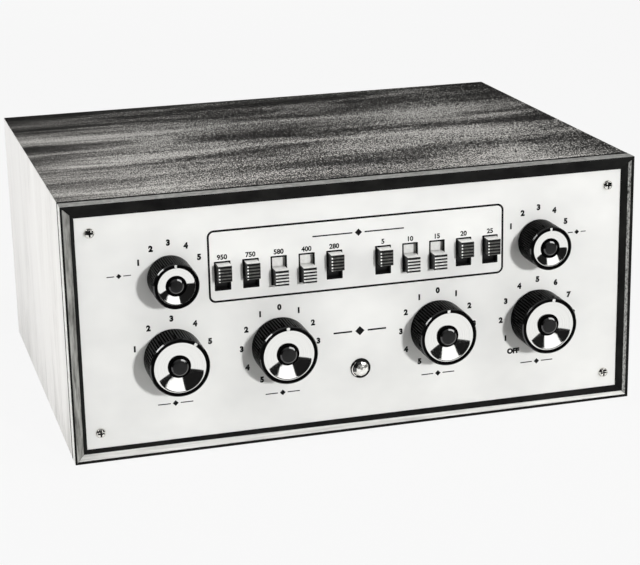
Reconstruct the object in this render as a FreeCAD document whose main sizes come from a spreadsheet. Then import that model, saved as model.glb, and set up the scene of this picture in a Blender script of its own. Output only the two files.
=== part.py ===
import FreeCAD, Part
import os
import re
import Sketcher
from FreeCAD import Placement, Rotation, Vector

# A valve preamplifier: a wooden cabinet, a metal moulding round a pale front panel, six knobs,
# ten slide buttons and a pilot light, with the chassis and its parts inside.
# Frame: millimetres, X to the right seen from the front, Y to the back, Z up.
# The origin is the centre of the cabinet's underside.

# Driving dimensions: one named value for each size that can be set by itself
driving_sizes = [
    # cabinet boards
    ("cabinet_width", 298.0),
    ("cabinet_height", 132.0),
    ("cabinet_depth", 222.0),
    ("board_thick", 9.5),
    # moulding section: across its face, and back from its front plane
    ("moulding_depth", 11.0),
    ("moulding_width", 6.6),
    ("moulding_strip", 4.0),
    ("moulding_edge", 0.6),
    ("moulding_land", 1.0),
    ("bevel_end", 4.6),
    ("bevel_drop", 1.6),
    ("lip_drop", 2.6),
    # front panel
    ("panel_recess", 3.0),
    ("panel_thick", 2.0),
    ("panel_gap", 0.3),
    ("panel_screw_inset", 13.8),
    ("panel_screw_rise", 14.6),
    # chassis
    ("steel_thick", 1.2),
    ("chassis_gap", 2.0),
    ("wall_gap", 1.0),
    ("rear_recess", 21.0),
    ("boss_radius", 3.0),
    ("vent_width", 3.4),
    ("vent_height", 34.0),
    ("vent_pitch", 12.0),
    ("vent_rise", 93.0),
    # screws
    ("panel_screw_head", 2.65),
    ("panel_screw_dome", 1.7),
    ("panel_screw_shank", 1.5),
    ("panel_screw_reach", 11.0),
    ("cross_width", 0.8),
    ("cross_depth", 1.0),
    ("chassis_screw_head", 4.0),
    ("chassis_screw_thick", 2.4),
    ("chassis_screw_shank", 1.9),
    ("chassis_screw_reach", 14.0),
    ("chassis_screw_column", 110.0),
    ("chassis_screw_front", 62.0),
    ("chassis_screw_rear", 68.0),
    ("counterbore_depth", 3.2),
    ("thread_gap", 0.1),
    # places of the controls on the panel
    ("outer_column", 97.0),
    ("inner_column", 42.0),
    ("lower_row", 50.0),
    ("upper_row", 91.4),
    ("switch_row", 89.4),
    ("first_switch", 12.8),
    ("switch_pitch", 14.4),
    ("pilot_rise", 32.9),
    # control bushings, nuts and shafts
    ("bushing_radius", 4.75),
    ("bushing_length", 10.6),
    ("bushing_gap", 0.15),
    ("nut_flats", 12.7),
    ("nut_thick", 2.2),
    ("shaft_radius", 3.175),
    ("running_gap", 0.05),
    # potentiometers
    ("pot_radius", 12.0),
    ("pot_length", 12.0),
    ("pot_shell", 1.0),
    ("rotor_radius", 9.5),
    ("rotor_thick", 2.4),
    ("rotor_gap", 1.0),
    ("lug_board_width", 14.0),
    ("lug_board_reach", 17.0),
    ("lug_board_thick", 1.2),
    ("power_switch_radius", 11.0),
    ("power_switch_length", 14.0),
    # rotary switches
    ("switch_plate_radius", 14.0),
    ("switch_plate_thick", 1.5),
    ("wafer_radius", 16.0),
    ("wafer_thick", 1.6),
    ("wafer_pitch", 12.0),
    ("wafer_bore", 5.0),
    ("wafer_gap", 0.3),
    ("tie_rod_radius", 1.5),
    ("tie_rod_spread", 12.0),
    # knobs
    ("large_knob_radius", 15.0),
    ("small_knob_radius", 11.4),
    ("knob_height", 16.5),
    ("knob_gap", 0.8),
    ("knob_edge", 0.5),
    ("rim_width", 1.5),
    ("rim_depth", 0.8),
    ("dish_depth", 4.2),
    ("insert_thick", 0.5),
    ("insert_gap", 0.05),
    ("large_hub_radius", 4.4),
    ("small_hub_radius", 3.8),
    ("hub_dome", 0.5),
    ("nut_recess_radius", 8.4),
    ("nut_recess_depth", 4.0),
    ("shaft_seat", 13.0),
    ("shaft_fit", 0.02),
    ("index_width", 1.2),
    ("index_depth", 1.2),
    # angles of the index marks at rest, clockwise from the top, in degrees
    ("selector_angle", 36.0),
    ("volume_angle", 9.0),
    # slide buttons and their switches
    ("slot_width", 7.2),
    ("slot_height", 13.8),
    ("button_side_gap", 0.2),
    ("button_height", 8.2),
    ("button_out", 6.5),
    ("button_travel", 5.2),
    ("rib_count", 5.0),
    ("rib_depth", 0.7),
    ("rib_gap", 0.7),
    ("slide_gap", 0.6),
    ("slide_thick", 1.0),
    ("slide_width", 9.2),
    ("slide_cover", 0.5),
    ("stem_width", 3.0),
    ("stem_height", 4.0),
    ("stem_gap", 0.6),
    ("carriage_width", 6.4),
    ("carriage_height", 8.0),
    ("carriage_thick", 5.0),
    ("carriage_gap", 0.6),
    ("housing_wall", 0.8),
    # pilot light
    ("bezel_radius", 5.3),
    ("bezel_front", 1.2),
    ("bezel_barrel", 4.5),
    ("bezel_bore", 3.6),
    ("bezel_length", 14.0),
    ("bezel_gap", 0.1),
    ("jewel_radius", 4.2),
    ("jewel_seat", 1.0),
    ("jewel_dome", 3.0),
    ("lamp_bulb", 2.8),
    ("lamp_bulb_length", 7.0),
    ("lamp_base_length", 9.0),
    # valves and their bracket
    ("bracket_height", 35.0),
    ("bracket_span", 240.0),
    ("bracket_front", 14.0),
    ("bracket_depth", 56.0),
    ("first_valve", -96.0),
    ("valve_pitch", 40.0),
    ("socket_radius", 9.4),
    ("socket_bore", 7.5),
    ("socket_flange", 12.4),
    ("socket_flange_thick", 1.2),
    ("socket_depth", 6.0),
    ("socket_gap", 0.2),
    ("valve_radius", 10.2),
    ("valve_foot", 4.0),
    ("valve_height", 46.0),
    ("shield_gap", 0.4),
    ("shield_thick", 0.5),
    ("shield_height", 50.0),
    ("shield_hole", 6.0),
    # filter capacitor
    ("can_radius", 12.5),
    ("can_height", 55.0),
    ("can_tail_radius", 8.0),
    ("can_tail", 5.0),
    ("can_column", 76.0),
    # tag board
    ("board_length", 150.0),
    ("board_breadth", 34.0),
    ("tag_board_thick", 1.6),
    ("board_front", -44.0),
    ("pillar_height", 12.0),
    ("pillar_radius", 3.0),
    ("coupling_radius", 4.2),
    ("coupling_length", 20.0),
    ("coupling_pitch", 24.0),
    # rear sockets
    ("first_jack", -110.0),
    ("jack_pitch", 22.0),
    ("jack_lower_row", 32.0),
    ("jack_upper_row", 56.0),
    ("jack_radius", 4.1),
    ("jack_length", 8.0),
    ("jack_bore", 1.6),
    ("jack_flange", 6.0),
    ("jack_flange_thick", 1.0),
    ("jack_tail", 7.0),
    ("inlet_column", 84.0),
    ("inlet_row", 44.0),
    ("inlet_radius", 13.5),
    ("inlet_flange", 16.5),
    ("inlet_flange_thick", 1.5),
    ("inlet_front", 3.0),
    ("inlet_tail", 9.0),
    ("inlet_key_radius", 3.9),
    ("inlet_pin_radius", 1.25),
    ("inlet_pin_circle", 8.7),
]

doc = FreeCAD.newDocument("preamplifier")
sheet = doc.addObject("Spreadsheet::Sheet", "Sizes")
for row, (alias, number) in enumerate(driving_sizes, 1):
    sheet.set(f"A{row}", alias)
    sheet.set(f"B{row}", str(number))
    sheet.setAlias(f"B{row}", alias)
doc.recompute()

aliases = [alias for alias, number in driving_sizes]
alias_word = re.compile(r"\b(" + "|".join(sorted(aliases, key=len, reverse=True)) + r")\b")
sub_parts = []


# Expressions: plain words of the sheet, turned into references to its cells
def formula(text):
    return alias_word.sub(r"Sizes.\1", str(text))


def value(text):
    return float(sheet.evalExpression(formula(text)))


def bind(item, setting, text):
    item.setExpression(setting, formula(text))


def place(item, x=0, y=0, z=0):
    bind(item, "Placement.Base.x", x)
    bind(item, "Placement.Base.y", y)
    bind(item, "Placement.Base.z", z)


def keep(item, name):
    item.Label = name
    sub_parts.append(item)
    return item


# Sketches: closed outlines and circles whose every coordinate is a formula
def outline(sketch, corners):
    points = [Vector(value(x), value(y), 0) for x, y in corners]
    first = sketch.GeometryCount
    count = len(points)
    for i in range(count):
        sketch.addGeometry(Part.LineSegment(points[i], points[(i + 1) % count]))
    for i in range(count):
        following = first + (i + 1) % count
        sketch.addConstraint(Sketcher.Constraint("Coincident", first + i, 2, following, 1))
    for i, (x, y) in enumerate(corners):
        across = Sketcher.Constraint("DistanceX", first + i, 1, points[i].x)
        bind(sketch, f"Constraints[{sketch.addConstraint(across)}]", x)
        up = Sketcher.Constraint("DistanceY", first + i, 1, points[i].y)
        bind(sketch, f"Constraints[{sketch.addConstraint(up)}]", y)


def circle(sketch, x, y, radius):
    centre = Vector(value(x), value(y), 0)
    item = sketch.addGeometry(Part.Circle(centre, Vector(0, 0, 1), value(radius)))
    across = Sketcher.Constraint("DistanceX", item, 3, centre.x)
    bind(sketch, f"Constraints[{sketch.addConstraint(across)}]", x)
    up = Sketcher.Constraint("DistanceY", item, 3, centre.y)
    bind(sketch, f"Constraints[{sketch.addConstraint(up)}]", y)
    size = Sketcher.Constraint("Radius", item, value(radius))
    bind(sketch, f"Constraints[{sketch.addConstraint(size)}]", radius)


def sketch_on(body, plane, outlines=(), circles=(), offset=None):
    sketch = body.newObject("Sketcher::SketchObject", body.Name + "_sketch")
    support = [item for item in body.Origin.OriginFeatures if item.Role == plane][0]
    sketch.AttachmentSupport = [(support, "")]
    sketch.MapMode = "FlatFace"
    for corners in outlines:
        outline(sketch, corners)
    for x, y, radius in circles:
        circle(sketch, x, y, radius)
    if offset is not None:
        bind(sketch, "AttachmentOffset.Base.z", offset)
    return sketch


def rectangle(left, right, low, high):
    return [(left, low), (right, low), (right, high), (left, high)]


def slot(x, z, width, height):
    return rectangle(
        f"{x} - {width} / 2", f"{x} + {width} / 2", f"{z} - {height} / 2", f"{z} + {height} / 2"
    )


# Features. A sketch on XZ_Plane faces -Y, so a pad that goes back is a reversed one.
def new_body(name):
    return doc.addObject("PartDesign::Body", name)


def pad(body, sketch, length, back=False, both_ways=False):
    feature = body.newObject("PartDesign::Pad", body.Name + "_pad")
    feature.Profile = sketch
    feature.Reversed = back
    if both_ways:
        feature.SideType = "Symmetric"
    bind(feature, "Length", length)
    return feature


def pocket(body, sketch, length=None, back=False, both_ways=False):
    feature = body.newObject("PartDesign::Pocket", body.Name + "_pocket")
    feature.Profile = sketch
    feature.Reversed = back
    if both_ways:
        feature.SideType = "Symmetric"
    if length is None:
        feature.Type = "ThroughAll"
    else:
        bind(feature, "Length", length)
    return feature


def turned(body, corners):
    # corners are (radius, height) pairs, turned about the body's own Z axis
    profile = sketch_on(body, "XZ_Plane", [corners])
    feature = body.newObject("PartDesign::Revolution", body.Name + "_turned")
    feature.Profile = profile
    feature.ReferenceAxis = (profile, ["V_Axis"])
    feature.Angle = 360
    return feature


def face_forward(item, clockwise=0.0):
    # turns the item's own Z axis to face the front, and its own Y axis up
    turn = Rotation(Vector(1, 0, 0), 90).multiply(Rotation(Vector(0, 0, 1), -clockwise))
    item.Placement = Placement(Vector(), turn)


def face_back(item):
    item.Placement = Placement(Vector(), Rotation(Vector(1, 0, 0), -90))


def group_of(name, master, places):
    # one node that holds the same solid at each of the places
    copies = []
    for i, (x, y, z) in enumerate(places):
        copy = doc.addObject("App::Link", f"{name}_{i + 1}")
        copy.LinkedObject = master
        copy.Placement = master.Placement
        place(copy, x, y, z)
        copies.append(copy)
    group = doc.addObject("Part::Compound", name)
    group.Links = copies
    return keep(group, name)


# Planes that several pieces share, as formulas
front = "(0 - cabinet_depth / 2)"
rear = "(cabinet_depth / 2)"
panel_front = f"({front} + panel_recess)"
panel_back = f"({panel_front} + panel_thick)"
wall_back = f"({front} + moulding_depth)"
wall_front = f"({wall_back} - steel_thick)"
floor_top = "(board_thick + steel_thick)"
rear_wall_back = f"({rear} - rear_recess)"
half_width = "(cabinet_width / 2)"
screw_column = f"({half_width} - panel_screw_inset)"
upper_screw_row = "(cabinet_height - panel_screw_rise)"
panel_screw_places = [
    (f"{side} * {screw_column}", row)
    for side in (-1, 1)
    for row in ("panel_screw_rise", upper_screw_row)
]
chassis_screw_places = [
    (f"{side} * chassis_screw_column", row)
    for side in (-1, 1)
    for row in ("0 - chassis_screw_front", "chassis_screw_rear")
]
control_places = {
    "low_filter": ("0 - outer_column", "upper_row"),
    "selector": ("0 - outer_column", "lower_row"),
    "bass": ("0 - inner_column", "lower_row"),
    "treble": ("inner_column", "lower_row"),
    "volume": ("outer_column", "lower_row"),
    "loudness": ("outer_column", "upper_row"),
}
button_columns = [
    f"{side} * (first_switch + {step} * switch_pitch)"
    for side, steps in ((-1, (4, 3, 2, 1, 0)), (1, (0, 1, 2, 3, 4)))
    for step in steps
]
# in the photographed setting six buttons stand up and four stand down
buttons_up = [True, True, False, False, True, True, False, False, True, True]


# Cabinet: four boards, mitred where they meet
def cabinet_board(name, corners):
    body = new_body(name)
    pad(body, sketch_on(body, "XZ_Plane", [corners]), "cabinet_depth - moulding_depth", back=True)
    place(body, y=wall_back)
    return keep(body, name)


left_edge = f"0 - {half_width}"
left_inside = f"board_thick - {half_width}"
right_inside = f"{half_width} - board_thick"
top_inside = "cabinet_height - board_thick"
cabinet_board(
    "cabinet_top",
    [
        (left_edge, "cabinet_height"),
        (half_width, "cabinet_height"),
        (right_inside, top_inside),
        (left_inside, top_inside),
    ],
)
bottom_board = cabinet_board(
    "cabinet_bottom",
    [(left_edge, 0), (half_width, 0), (right_inside, "board_thick"), (left_inside, "board_thick")],
)
cabinet_board(
    "cabinet_left_side",
    [
        (left_edge, 0),
        (left_edge, "cabinet_height"),
        (left_inside, top_inside),
        (left_inside, "board_thick"),
    ],
)
cabinet_board(
    "cabinet_right_side",
    [
        (half_width, 0),
        (half_width, "cabinet_height"),
        (right_inside, top_inside),
        (right_inside, "board_thick"),
    ],
)
screw_holes = [
    (x, f"{y} - {wall_back}", "chassis_screw_shank + thread_gap") for x, y in chassis_screw_places
]
head_holes = [
    (x, f"{y} - {wall_back}", "chassis_screw_head + thread_gap") for x, y in chassis_screw_places
]
pocket(bottom_board, sketch_on(bottom_board, "XY_Plane", circles=screw_holes), back=True)
pocket(
    bottom_board,
    sketch_on(bottom_board, "XY_Plane", circles=head_holes),
    "counterbore_depth",
    back=True,
)

# Moulding: one section, (across the face from the outer edge, back from the front plane)
moulding_section = [
    ("0", "moulding_depth"),
    ("0", "moulding_edge"),
    ("moulding_edge", "0"),
    ("moulding_land", "0"),
    ("bevel_end", "bevel_drop"),
    ("moulding_width", "lip_drop"),
    ("moulding_width", "panel_recess"),
    ("moulding_strip", "panel_recess"),
    ("moulding_strip", "moulding_depth"),
]
mitre = "(2 * moulding_width)"


def moulding_rail(name, edge, inward):
    # a level member along X; inward is the sign that leads from its edge to the panel
    body = new_body(name)
    section = [(depth, f"{edge} + {inward} * ({across})") for across, depth in moulding_section]
    pad(body, sketch_on(body, "YZ_Plane", [section]), "cabinet_width", both_ways=True)
    ends = [
        [
            (f"{side} * {half_width}", edge),
            (f"{side} * {half_width}", f"{edge} + {inward} * {mitre}"),
            (f"{side} * ({half_width} - {mitre})", f"{edge} + {inward} * {mitre}"),
        ]
        for side in (-1, 1)
    ]
    pocket(body, sketch_on(body, "XZ_Plane", ends), both_ways=True)
    place(body, y=front)
    return keep(body, name)


def moulding_stile(name, side):
    # an upright member along Z; side is -1 at the left and 1 at the right
    body = new_body(name)
    section = [(f"{side} * ({half_width} - ({across}))", depth) for across, depth in moulding_section]
    pad(body, sketch_on(body, "XY_Plane", [section]), "cabinet_height")
    ends = [
        [
            (f"{side} * {half_width}", edge),
            (f"{side} * ({half_width} - {mitre})", edge),
            (f"{side} * ({half_width} - {mitre})", f"{edge} + {inward} * {mitre}"),
        ]
        for edge, inward in (("0", "1"), ("cabinet_height", "-1"))
    ]
    pocket(body, sketch_on(body, "XZ_Plane", ends), both_ways=True)
    place(body, y=front)
    return keep(body, name)


moulding_rail("moulding_top", "cabinet_height", "-1")
moulding_rail("moulding_bottom", "0", "1")
moulding_stile("moulding_left", "-1")
moulding_stile("moulding_right", "1")

# Front panel: a plate behind the moulding's lip, with a hole or slot for all that passes it
panel_edge = f"({half_width} - moulding_strip - panel_gap)"
panel_low = "moulding_strip + panel_gap"
panel_high = "cabinet_height - moulding_strip - panel_gap"
panel = new_body("front_panel")
panel_outlines = [rectangle(f"0 - {panel_edge}", panel_edge, panel_low, panel_high)]
panel_outlines += [slot(x, "switch_row", "slot_width", "slot_height") for x in button_columns]
panel_circles = [(x, z, "bushing_radius + bushing_gap") for x, z in control_places.values()]
panel_circles += [(x, z, "panel_screw_shank + thread_gap") for x, z in panel_screw_places]
panel_circles.append(("0", "pilot_rise", "bezel_barrel + bezel_gap"))
pad(
    panel,
    sketch_on(panel, "XZ_Plane", panel_outlines, panel_circles),
    "panel_thick",
    back=True,
)
place(panel, y=panel_front)
keep(panel, "front_panel")

# Chassis: floor, front wall and rear wall of one folded sheet, with four bosses for the panel.
# Its own Y starts at the front wall's front face.
chassis = new_body("chassis")
wall_reach = f"({rear_wall_back} - {wall_front})"
chassis_high = f"{top_inside} - chassis_gap"
fold = [
    ("0", "board_thick"),
    (wall_reach, "board_thick"),
    (wall_reach, chassis_high),
    (f"{wall_reach} - steel_thick", chassis_high),
    (f"{wall_reach} - steel_thick", floor_top),
    ("steel_thick", floor_top),
    ("steel_thick", chassis_high),
    ("0", chassis_high),
]
chassis_width = "cabinet_width - 2 * board_thick - 2 * chassis_gap"
pad(chassis, sketch_on(chassis, "YZ_Plane", [fold]), chassis_width, both_ways=True)
wall_edge = f"({half_width} - moulding_strip - wall_gap)"
wall_low = "moulding_strip + wall_gap"
wall_high = "cabinet_height - moulding_strip - wall_gap"
front_wall = [rectangle(f"0 - {wall_edge}", wall_edge, wall_low, wall_high)]
pad(chassis, sketch_on(chassis, "XZ_Plane", front_wall), "steel_thick", back=True)
bosses = [(x, z, "boss_radius") for x, z in panel_screw_places]
boss_length = f"{wall_front} - {panel_back}"
pad(chassis, sketch_on(chassis, "XZ_Plane", circles=bosses), boss_length)
stem_slot_width = "(stem_width + 2 * stem_gap)"
stem_slot_height = "(stem_height + button_travel + 2 * stem_gap)"
wall_slots = [slot(x, "switch_row", stem_slot_width, stem_slot_height) for x in button_columns]
wall_holes = [(x, z, "bushing_radius + bushing_gap") for x, z in control_places.values()]
wall_holes += [(x, z, "panel_screw_shank + thread_gap") for x, z in panel_screw_places]
wall_holes.append(("0", "pilot_rise", "bezel_barrel + bezel_gap"))
pocket(
    chassis,
    sketch_on(chassis, "XZ_Plane", wall_slots, wall_holes),
    f"4 * ({boss_length})",
    both_ways=True,
)
floor_holes = [
    (x, f"{y} - {wall_front}", "chassis_screw_shank + thread_gap") for x, y in chassis_screw_places
]
pocket(
    chassis,
    sketch_on(chassis, "XY_Plane", circles=floor_holes),
    "2 * board_thick + 4 * steel_thick",
    both_ways=True,
)
jack_places = [
    (f"first_jack + {column} * jack_pitch", row)
    for row in ("jack_lower_row", "jack_upper_row")
    for column in range(5)
]
vent_count = 12
vents = [
    slot(f"({i} - {(vent_count - 1) / 2}) * vent_pitch", "vent_rise", "vent_width", "vent_height")
    for i in range(vent_count)
]
rear_holes = [(x, z, "jack_radius + socket_gap") for x, z in jack_places]
rear_holes.append(("inlet_column", "inlet_row", "inlet_radius + socket_gap"))
pocket(
    chassis,
    sketch_on(chassis, "XZ_Plane", vents, rear_holes, offset=f"0 - {wall_reach}"),
    "4 * steel_thick",
    both_ways=True,
)
place(chassis, y=wall_front)
keep(chassis, "chassis")

# Panel screws: domed heads with a cross, standing on the panel
panel_screw = new_body("panel_screw")
turned(
    panel_screw,
    [
        ("0", "0 - panel_screw_reach"),
        ("panel_screw_shank", "0 - panel_screw_reach"),
        ("panel_screw_shank", "0"),
        ("panel_screw_head", "0"),
        ("panel_screw_head", "0.3 * panel_screw_dome"),
        ("0.8 * panel_screw_head", "0.75 * panel_screw_dome"),
        ("0.45 * panel_screw_head", "panel_screw_dome"),
        ("0", "panel_screw_dome"),
    ],
)
cross_reach = "(1.3 * panel_screw_head)"
arm = "(cross_width / 2)"
half_arm = f"({cross_reach} / 2)"
cross = [
    (f"0 - {half_arm}", f"0 - {arm}"),
    (f"0 - {arm}", f"0 - {arm}"),
    (f"0 - {arm}", f"0 - {half_arm}"),
    (arm, f"0 - {half_arm}"),
    (arm, f"0 - {arm}"),
    (half_arm, f"0 - {arm}"),
    (half_arm, arm),
    (arm, arm),
    (arm, half_arm),
    (f"0 - {arm}", half_arm),
    (f"0 - {arm}", arm),
    (f"0 - {half_arm}", arm),
]
pocket(
    panel_screw,
    sketch_on(panel_screw, "XY_Plane", [cross], offset="panel_screw_dome"),
    "cross_depth",
)
face_forward(panel_screw)
group_of("panel_screws", panel_screw, [(x, panel_front, z) for x, z in panel_screw_places])

# Chassis screws: from below, their heads sunk in the cabinet's bottom
chassis_screw = new_body("chassis_screw")
turned(
    chassis_screw,
    [
        ("0", "0 - chassis_screw_thick"),
        ("chassis_screw_head", "0 - chassis_screw_thick"),
        ("chassis_screw_head", "0"),
        ("chassis_screw_shank", "0"),
        ("chassis_screw_shank", "chassis_screw_reach"),
        ("0", "chassis_screw_reach"),
    ],
)
group_of(
    "chassis_screws", chassis_screw, [(x, y, "counterbore_depth") for x, y in chassis_screw_places]
)

# Control nuts: hexagons on the panel, round the bushings
nut = new_body("control_nut")
corner = "(nut_flats / 2 / cos(30 deg))"
hexagon = [(f"{corner} * cos({60 * i} deg)", f"{corner} * sin({60 * i} deg)") for i in range(6)]
pad(
    nut,
    sketch_on(nut, "XY_Plane", [hexagon], [("0", "0", "bushing_radius + thread_gap")]),
    "nut_thick",
)
face_forward(nut)
group_of("control_nuts", nut, [(x, panel_front, z) for x, z in control_places.values()])


# Potentiometers: a shell with a bushing, hollow for its rotor. Its own Z starts at the wall.
def potentiometer(name, with_power_switch=False):
    body = new_body(name)
    bore = "shaft_radius + running_gap"
    turned(
        body,
        [
            (bore, "bushing_length"),
            ("bushing_radius", "bushing_length"),
            ("bushing_radius", "0"),
            ("pot_radius", "0"),
            ("pot_radius", "0 - pot_length"),
            ("0", "0 - pot_length"),
            ("0", "pot_shell - pot_length"),
            ("pot_radius - pot_shell", "pot_shell - pot_length"),
            ("pot_radius - pot_shell", "0 - pot_shell"),
            (bore, "0 - pot_shell"),
        ],
    )
    lug_board = rectangle(
        "0 - lug_board_width / 2",
        "lug_board_width / 2",
        "0 - lug_board_reach",
        "pot_shell / 4 - (pot_radius - pot_shell / 2)",
    )
    board = sketch_on(body, "XY_Plane", [lug_board], offset="0 - pot_shell - lug_board_thick")
    pad(body, board, "lug_board_thick")
    if with_power_switch:
        tail = sketch_on(
            body,
            "XY_Plane",
            circles=[("0", "0", "power_switch_radius")],
            offset="0 - pot_length",
        )
        pad(body, tail, "power_switch_length", back=True)
    face_forward(body)
    x, z = control_places[name.split("_control")[0]]
    place(body, x, wall_back, z)
    return keep(body, name)


# Rotary switches: a plate with a bushing, two wafers and two tie rods
def rotary_switch(name):
    body = new_body(name)
    bore = "shaft_radius + running_gap"
    turned(
        body,
        [
            (bore, "bushing_length"),
            ("bushing_radius", "bushing_length"),
            ("bushing_radius", "0"),
            ("switch_plate_radius", "0"),
            ("switch_plate_radius", "0 - switch_plate_thick"),
            (bore, "0 - switch_plate_thick"),
        ],
    )
    rods = [(f"{side} * tie_rod_spread", "0", "tie_rod_radius") for side in (-1, 1)]
    pad(
        body,
        sketch_on(body, "XY_Plane", circles=rods),
        "2 * wafer_pitch + 2 * wafer_thick",
        back=True,
    )
    for step in (1, 2):
        rings = [("0", "0", "wafer_radius"), ("0", "0", "wafer_bore")]
        wafer = sketch_on(body, "XY_Plane", circles=rings, offset=f"0 - {step} * wafer_pitch")
        pad(body, wafer, "wafer_thick", back=True)
    face_forward(body)
    x, z = control_places[name.split("_switch")[0]]
    place(body, x, wall_back, z)
    return keep(body, name)


potentiometer("bass_control")
potentiometer("treble_control")
potentiometer("volume_control", with_power_switch=True)
for name in ("low_filter", "selector", "loudness"):
    rotary_switch(name + "_switch")

# Shafts: each reaches from its knob's seat through the bushing to its rotor.
# Its own Z starts at the wall, like the control's.
shaft_tip = f"({wall_back} - {panel_front} + knob_gap + shaft_seat)"


def pot_shaft(name):
    body = new_body(name)
    rotor_front = "(0 - pot_shell - rotor_gap)"
    turned(
        body,
        [
            ("0", shaft_tip),
            ("shaft_radius", shaft_tip),
            ("shaft_radius", rotor_front),
            ("rotor_radius", rotor_front),
            ("rotor_radius", f"{rotor_front} - rotor_thick"),
            ("0", f"{rotor_front} - rotor_thick"),
        ],
    )
    return body


def switch_shaft(name):
    body = new_body(name)
    rotor = "(wafer_bore - wafer_gap)"
    tail = "(0 - 2 * wafer_pitch - 2 * wafer_thick)"
    profile = [("0", shaft_tip), ("shaft_radius", shaft_tip)]
    for step in (1, 2):
        profile += [
            ("shaft_radius", f"0 - {step} * wafer_pitch"),
            (rotor, f"0 - {step} * wafer_pitch"),
            (rotor, f"0 - {step} * wafer_pitch - wafer_thick"),
            ("shaft_radius", f"0 - {step} * wafer_pitch - wafer_thick"),
        ]
    profile += [("shaft_radius", tail), ("0", tail)]
    turned(body, profile)
    return body


# Knobs: a black body with a hub, round which a dished metal insert lies. Own Z starts at the back.
insert_outer_face = "(knob_height - rim_depth)"
insert_inner_face = "(knob_height - rim_depth - dish_depth)"


def knob_body(name, radius, hub):
    body = new_body(name)
    turned(
        body,
        [
            ("nut_recess_radius", "0"),
            (f"{radius} - knob_edge", "0"),
            (radius, "knob_edge"),
            (radius, "knob_height - knob_edge"),
            (f"{radius} - knob_edge", "knob_height"),
            (f"{radius} - rim_width", "knob_height"),
            (f"{radius} - rim_width", insert_outer_face),
            (hub, insert_inner_face),
            (hub, "knob_height - hub_dome"),
            (f"0.7 * {hub}", "knob_height"),
            ("0", "knob_height"),
            ("0", "shaft_seat"),
            ("shaft_radius + shaft_fit", "shaft_seat"),
            ("shaft_radius + shaft_fit", "nut_recess_depth"),
            ("nut_recess_radius", "nut_recess_depth"),
        ],
    )
    notch = rectangle(
        "0 - index_width / 2",
        "index_width / 2",
        f"{radius} - rim_width - insert_gap",
        f"{radius} + knob_edge",
    )
    pocket(body, sketch_on(body, "XY_Plane", [notch], offset="knob_height"), "index_depth")
    return body


def knob_insert(name, radius, hub):
    body = new_body(name)
    inner = f"({hub} + insert_gap)"
    outer = f"({radius} - rim_width - insert_gap)"
    turned(
        body,
        [
            (inner, f"{insert_inner_face} + insert_gap"),
            (outer, insert_outer_face),
            (outer, f"{insert_outer_face} + insert_thick"),
            (inner, f"{insert_inner_face} + insert_gap + insert_thick"),
        ],
    )
    return body


rest_angles = {"selector": value("selector_angle"), "volume": value("volume_angle")}
for name, (x, z) in control_places.items():
    small = z == "upper_row"
    radius = "small_knob_radius" if small else "large_knob_radius"
    hub = "small_hub_radius" if small else "large_hub_radius"
    for part, maker in (("knob", knob_body), ("insert", knob_insert)):
        body = maker(f"{name}_{part}", radius, hub)
        face_forward(body, rest_angles.get(name, 0.0))
        place(body, x, f"{panel_front} - knob_gap", z)
        keep(body, f"{name}_{part}")
    make_shaft = pot_shaft if name in ("bass", "treble", "volume") else switch_shaft
    shaft = make_shaft(f"{name}_shaft")
    face_forward(shaft, rest_angles.get(name, 0.0))
    place(shaft, x, wall_back, z)
    keep(shaft, f"{name}_shaft")

# Slide buttons: ribbed button, slide plate, stem and contact carriage in one piece.
# Its own Y starts at the panel's front face.
button_half = "(button_height / 2)"
plate_near = "(panel_thick + slide_gap)"
plate_far = f"({plate_near} + slide_thick)"
plate_half = "(slot_height / 2 + button_travel / 2 + slide_cover)"
carriage_near = f"({wall_back} - {panel_front} + carriage_gap)"
rib_total = int(value("rib_count"))


def ribbed_side_view():
    # the button seen from its side: grooves are let into the front face, evenly spaced
    corners = [(plate_near, f"0 - {button_half}"), ("0 - button_out", f"0 - {button_half}")]
    for i in range(rib_total):
        middle = f"(({i} + 0.5) / rib_count - 0.5) * button_height"
        corners += [
            ("0 - button_out", f"{middle} - rib_gap / 2"),
            ("rib_depth - button_out", f"{middle} - rib_gap / 2"),
            ("rib_depth - button_out", f"{middle} + rib_gap / 2"),
            ("0 - button_out", f"{middle} + rib_gap / 2"),
        ]
    corners += [("0 - button_out", button_half), (plate_near, button_half)]
    return corners


def slide_button(name, column, up):
    body = new_body(name)
    layers = [
        (ribbed_side_view(), "slot_width - 2 * button_side_gap"),
        (rectangle(plate_near, plate_far, f"0 - {plate_half}", plate_half), "slide_width"),
        (
            rectangle(plate_far, carriage_near, "0 - stem_height / 2", "stem_height / 2"),
            "stem_width",
        ),
        (
            rectangle(
                carriage_near,
                f"{carriage_near} + carriage_thick",
                "0 - carriage_height / 2",
                "carriage_height / 2",
            ),
            "carriage_width",
        ),
    ]
    for side_view, width in layers:
        pad(body, sketch_on(body, "YZ_Plane", [side_view]), width, both_ways=True)
    sign = "+" if up else "-"
    place(body, column, panel_front, f"switch_row {sign} button_travel / 2")
    return keep(body, name)


for i, column in enumerate(button_columns):
    slide_button(f"slide_button_{i + 1}", column, buttons_up[i])

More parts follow.
